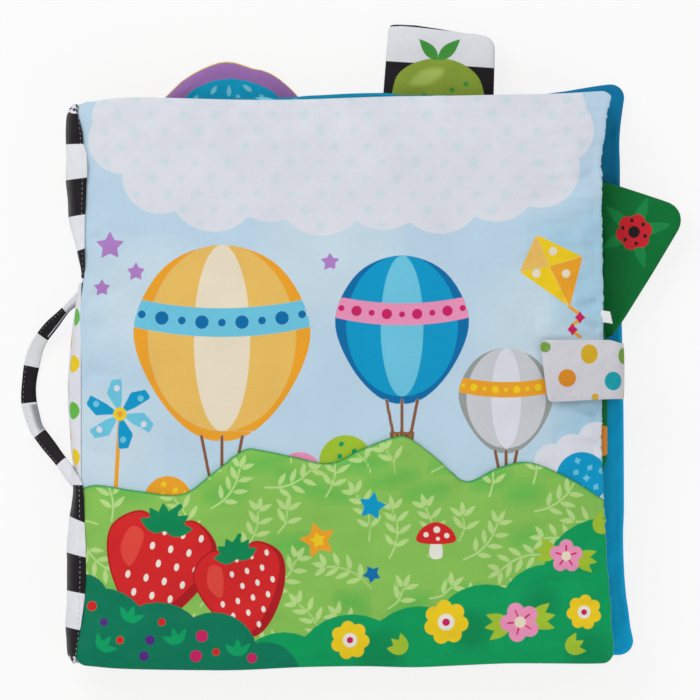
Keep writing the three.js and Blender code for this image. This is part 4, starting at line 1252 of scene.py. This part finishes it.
hook_cloth = cloth("hook_and_loop_nap", (234, 234, 232), weave=0.9, depth=1.0, rough=0.9, sheen=0.4, rumple=0.8)
left, right, foot, head = 91.4, 109.4, -21.2, -0.4
x, y = np.meshgrid(np.linspace(left, right, 40), np.linspace(foot, head, 44))
edge = np.min([x - left, right - x, y - foot, head - y], 0)
nap = 0.35 + 0.3 * smooth(edge, 0, 0.8) + 0.1 * np.sin(x * 7.1) * np.sin(y * 6.7) * smooth(edge, 0.2, 1)
for name, z, body in (("loop", cover_height(x, y), "front_cover"),
                      ("hook", np.interp(x, path[:60, 0], path[:60, 1]) - 1.35, "closure_end")):
    o = slab(f"{name}_patch", np.stack([x, y, z + nap], -1), np.stack([x, y, z + 0.05], -1), [hook_cloth])
    declare(o, "hook_loop", f"closure_{name}_patch", body=body)


# Tabs and label

def tab(name, outline, art, inks, base, backing, body, bend, slot, half=1.6, lip=0.12, rings=30, count=220):
    """A small padded shape with a sewn rim; half is half its thickness, and lip is how far the
    backing stands out. Bend is (x, y, y) in millimetres, where a bend would begin and end; declare only bakes the
    tab's place."""
    p = np.asarray(outline, float)
    closed = np.concatenate([p, p[:1]])
    length = lengths(closed)
    at = np.linspace(0, length[-1], count + 1)[:-1]
    p = np.stack([np.interp(at, length, closed[:, k]) for k in (0, 1)], -1)
    centre = p.mean(0)
    out = p - centre
    reach = np.linalg.norm(out, axis=1)
    share = 1 - np.linspace(0, 1, rings + 1)[:-1, None] ** 1.15
    grid = centre + out * share[..., None]
    away = (1 - share) * reach
    h = 0.125 + (half - 0.125) * np.sqrt(1 - (1 - np.clip(away / 5.0, 0, 1)) ** 2)
    h = (h + 0.18 * ripple(grid[..., 0], grid[..., 1], 51, 15) * smooth(away, 1, 6))[..., None]
    wider = grid + out / reach[:, None] * (lip * share**8)[..., None]
    top, low = (np.concatenate([np.concatenate([flat, PAGE_2_Z + sign * h], -1).reshape(-1, 3),
                                [[*centre, PAGE_2_Z + sign * half]]])
                for flat, sign in ((grid, 1), (wider, -1)))
    n = len(top)
    k = np.arange(count)
    k_next = (k + 1) % count
    last = n - 1 - count
    quads, fan = ring_faces(rings, count), np.stack([k + last, k_next + last, 0 * k + n - 1], -1)
    over = quads.tolist() + fan.tolist()
    under = (quads[:, ::-1] + n).tolist() + (fan[:, ::-1] + n).tolist()
    rim = np.stack([k + n, k_next + n, k_next, k], -1).tolist()
    points = np.concatenate([top, low])
    o = mesh_object(name, points, over + under + rim,
                    [cloth(f"{name}_print", base, inks, rumple=0.35), cloth(f"{name}_backing", backing)],
                    [0] * len(over) + [1] * (len(under) + len(rim)))
    print_on(o, points, art, inks)
    x, start, end = bend
    declare(o, slot, *[f"{body}_{k}" for k in ("front_cloth", "back_cloth", "crinkle_film")], fill=0.3,
            bend=("leaf_2", body, (x[0], start, 12), (x[1], end, 12)))


def head_tab_art(p):
    for corners in (((370, 60), (510, 69), (510, 130), (370, 130)),
                    ((380, 28), (393, 26.4), (402, 26), (420, 27.6), (450, 31), (450, 20), (380, 20))):
        p.shape("tab_black", at_tabs(*corners))
    p.blob("pear", *at_tabs((398, 120), (394, 84), (408, 66), (438, 58), (466, 66), (482, 86), (478, 120)))
    p.blob("pear_light", *at_tabs((410, 84), (424, 70), (444, 70), (430, 84)))
    stalk, *marks = at_tabs((438, 60), (452, 90), (466, 84), (424, 96), (440, 104))
    p.leaf("pear_leaf", *stalk, 2.3, 12.5, 5.2)
    p.leaf("pear_leaf", *stalk, 0.75, 13.5, 5.4)
    for place in marks:
        p.dot("pear_leaf", *place, 1.2)


tab("head_tab",
    at_tabs((382.5, 105), (386, 60), (388, 38), (388.5, 29), (390.5, 25.6), (394, 24.6), (401, 24.6), (416, 25.4),
            (440, 29), (466, 33.6), (476, 34), (484, 35.8), (489.5, 38.2), (493, 42), (494.6, 47), (494.5, 60),
            (493.3, 105)), head_tab_art,
    [("tab_black", BLACK), ("pear", (140, 164, 58)), ("pear_light", (172, 194, 96), 1.2),
     ("pear_leaf", (66, 148, 60))], (226, 228, 234), (228, 229, 234), "top_tab", ((38.7, 38.7), 111.4, 115.4),
    "tab_stripes")


def arch_art(p):
    p.shape("arch_teal", at_tabs((178, 110), (186, 96), (196, 88), (212, 81), (230, 78.5), (246, 80.5), (260, 85),
                                 (272, 91), (282, 100), (284, 110)))
    for place, turn, size in zip(at_tabs((214, 90), (229, 91), (247, 88), (196, 98), (262, 97), (238, 97)),
                                 (1.0, 1.55, 2.5, 0.9, 2.4, 1.8), (5, 5.5, 5.5, 4, 4, 3)):
        start, = turned([(-size / 2, 0)], turn, *place)
        p.leaf("arch_pale", *start, turn, size, 2.0)


tab("arch_flap_soft",
    at_tabs((163, 108), (164, 99.5), (166.3, 97), (173.9, 89.6), (182.5, 81.5), (193.4, 74.4), (202, 70),
            (210.7, 66.3), (219.4, 63.6), (226, 62.8), (234.6, 63.6), (243.3, 66.3), (252, 69.3), (260.6, 70.6),
            (267, 72.8), (272.6, 75.5), (279, 79.8), (285.6, 85.2), (291, 90.1), (297.5, 96.9), (299, 99.5),
            (299, 108)), arch_art,
    [("arch_teal", (0, 158, 202)), ("arch_pale", (120, 200, 228))], (156, 110, 178), (216, 181, 42), "arch_flap",
    ((-53, -53), 110.6, 114.0), "arch_print", 1.5, 0.5)


def flap_art(p):
    (x, y), = at_tabs((634, 232))
    for a in (0.2, 1.2, 2.4, 3.6, 5.0):
        p.leaf("flap_leaf", x + 2 * math.cos(a), y + 2 * math.sin(a), a, 15, 5)
    petals(p, "flap_red", x, y, 4.6, 6, 3.5, 0.2)
    p.dot("flap_red", x, y, 4.8)
    p.dot("flap_dark", x, y, 2.6)
    petals(p, "flap_dark", x, y, 5.2, 6, 0.9, 0.7)


tab("fore_flap",
    at_tabs((598, 181), (612, 184), (640, 193), (664, 201), (670, 203.2), (674.6, 206.2), (678, 210.2), (680.2, 215),
            (680.8, 220), (680.2, 225), (678.4, 229.8), (675.6, 234.6), (655, 269), (626, 316), (613, 335),
            (598, 340)), flap_art,
    [("flap_leaf", (20, 140, 70)), ("flap_red", (214, 35, 48)), ("flap_dark", BLACK)], (0, 116, 52), (0, 104, 48),
    "right_flap", ((114.2, 118.5), 37, 37), "flap_print")

x, y = np.meshgrid(np.linspace(-2.4, 3.4, 14), np.linspace(10.9, 16.3, 16))
z = 28.75 - 0.02 * (x + 1) ** 2 + 0.12 * np.sin(y)
across, up = 111.0 + x - (y - 13.6) * 0.22, y - (x + 2.4) * 0.16
label = slab("care_ribbon", np.stack([across, up, z + 0.28], -1), np.stack([across, up, z - 0.22], -1),
             [cloth("label_ribbon", (240, 240, 242), weave=0.6)])
declare(label, "label", "care_label", body="front_cover")


# Stitches: one short thread, repeated along a line by a node tree

def stitch_tree():
    tree = bpy.data.node_groups.new("stitches", "GeometryNodeTree")
    for name, kind in (("Line", "Geometry"), ("Pitch", "Float"), ("Length", "Float"), ("Thread", "Float"),
                       ("Material", "Material")):
        tree.interface.new_socket(name, in_out="INPUT", socket_type=f"NodeSocket{kind}")
    tree.interface.new_socket("Stitches", in_out="OUTPUT", socket_type="NodeSocketGeometry")
    given = node(tree, "NodeGroupInput").outputs
    places = node(tree, "GeometryNodeCurveToPoints", {"Curve": given["Line"], "Length": given["Pitch"]},
                  mode="LENGTH").outputs
    ball = node(tree, "GeometryNodeMeshUVSphere", {"Segments": 8, "Rings": 6, "Radius": 1.0}).outputs["Mesh"]
    half = calculate(tree, "MULTIPLY", given["Length"], 0.5)
    size = node(tree, "ShaderNodeCombineXYZ", {"X": given["Thread"], "Y": given["Thread"], "Z": half}).outputs[0]
    put = node(tree, "GeometryNodeInstanceOnPoints", {"Points": places["Points"], "Instance": ball,
                                                      "Rotation": places["Rotation"], "Scale": size})
    real = node(tree, "GeometryNodeRealizeInstances", {0: put.outputs["Instances"]}).outputs[0]
    paint = node(tree, "GeometryNodeSetMaterial", {"Geometry": real, "Material": given["Material"]}).outputs[0]
    node(tree, "NodeGroupOutput", {0: paint})
    return tree


stitches_tree = stitch_tree()
sockets = {i.name: i.identifier for i in stitches_tree.interface.items_tree if i.item_type == "SOCKET"}
thread = cloth("white_thread", (214, 214, 218), weave=0.3, rough=0.6, rumple=0.1)


def stitch(name, line, slot, pitch, length, thick=0.1, **moves):
    """Stitches along a line; moves says what they move with, as declare does."""
    data = bpy.data.curves.new(name, "CURVE")
    data.dimensions = "3D"
    spline = data.splines.new("POLY")
    spline.points.add(len(line) - 1)
    spline.points.foreach_set("co", np.concatenate([np.asarray(line) * MM, np.ones((len(line), 1))], 1).ravel())
    maker = to_scene(name + "_line", data)
    modifier = maker.modifiers.new("stitches", "NODES")
    modifier.node_group = stitches_tree
    for key, value in (("Pitch", pitch * MM), ("Length", length * MM), ("Thread", thick * MM), ("Material", thread)):
        modifier[sockets[key]] = value
    made = bpy.data.meshes.new_from_object(maker.evaluated_get(bpy.context.evaluated_depsgraph_get()))
    bpy.data.objects.remove(maker)
    o = to_scene(name, made)
    declare(o, slot, **moves)
    return o


for part, grid, column, thick in (("upper", upper_strap, 21, 0.06), ("lower", lower_strap, 20, 0.09)):
    stitch(f"strap_{part}_stitches", grid[3:-3, column] + (0, 0, thick - 0.02), "strap_stripes", 2.2, 1.2, thick,
           bend=BEND_COVER)
seam_line = loop_line + upward * 0.9 + sideways * (half_wide[:, None] - 0.95)
loop_stitches = stitch("loop_stitches", seam_line[6:-6], "strap_stripes", 2.2, 1.2, 0.05, body="handle")
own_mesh(loop_stitches)


def on_closure(columns, shares):
    """A line on the closing strap's face, by columns and by shares from -1 to 1 across it."""
    return [resample(closure_sides[0], np.array([(r + 1) / 2 * (v.size - 1)]), np.array([k]))[0, 0] + (0, 0, 0.05)
            for k, r in np.broadcast(columns, shares)]


BOX_START, BOX_END, BOX_SIDE = 6, 36, 0.84
box = (on_closure(BOX_START, np.linspace(-BOX_SIDE, BOX_SIDE, 20))
       + on_closure(np.linspace(BOX_START, BOX_END, 24), BOX_SIDE)
       + on_closure(BOX_END, np.linspace(BOX_SIDE, -BOX_SIDE, 20))
       + on_closure(np.linspace(BOX_END, BOX_START, 24), -BOX_SIDE))
for name, line in (("box", box), ("edge", on_closure(np.linspace(40, 66, 20), -0.9))):
    stitch(f"closure_{name}_stitches", line, "closure_dots", 2.4, 1.5, body="closure_end")

low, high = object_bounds()
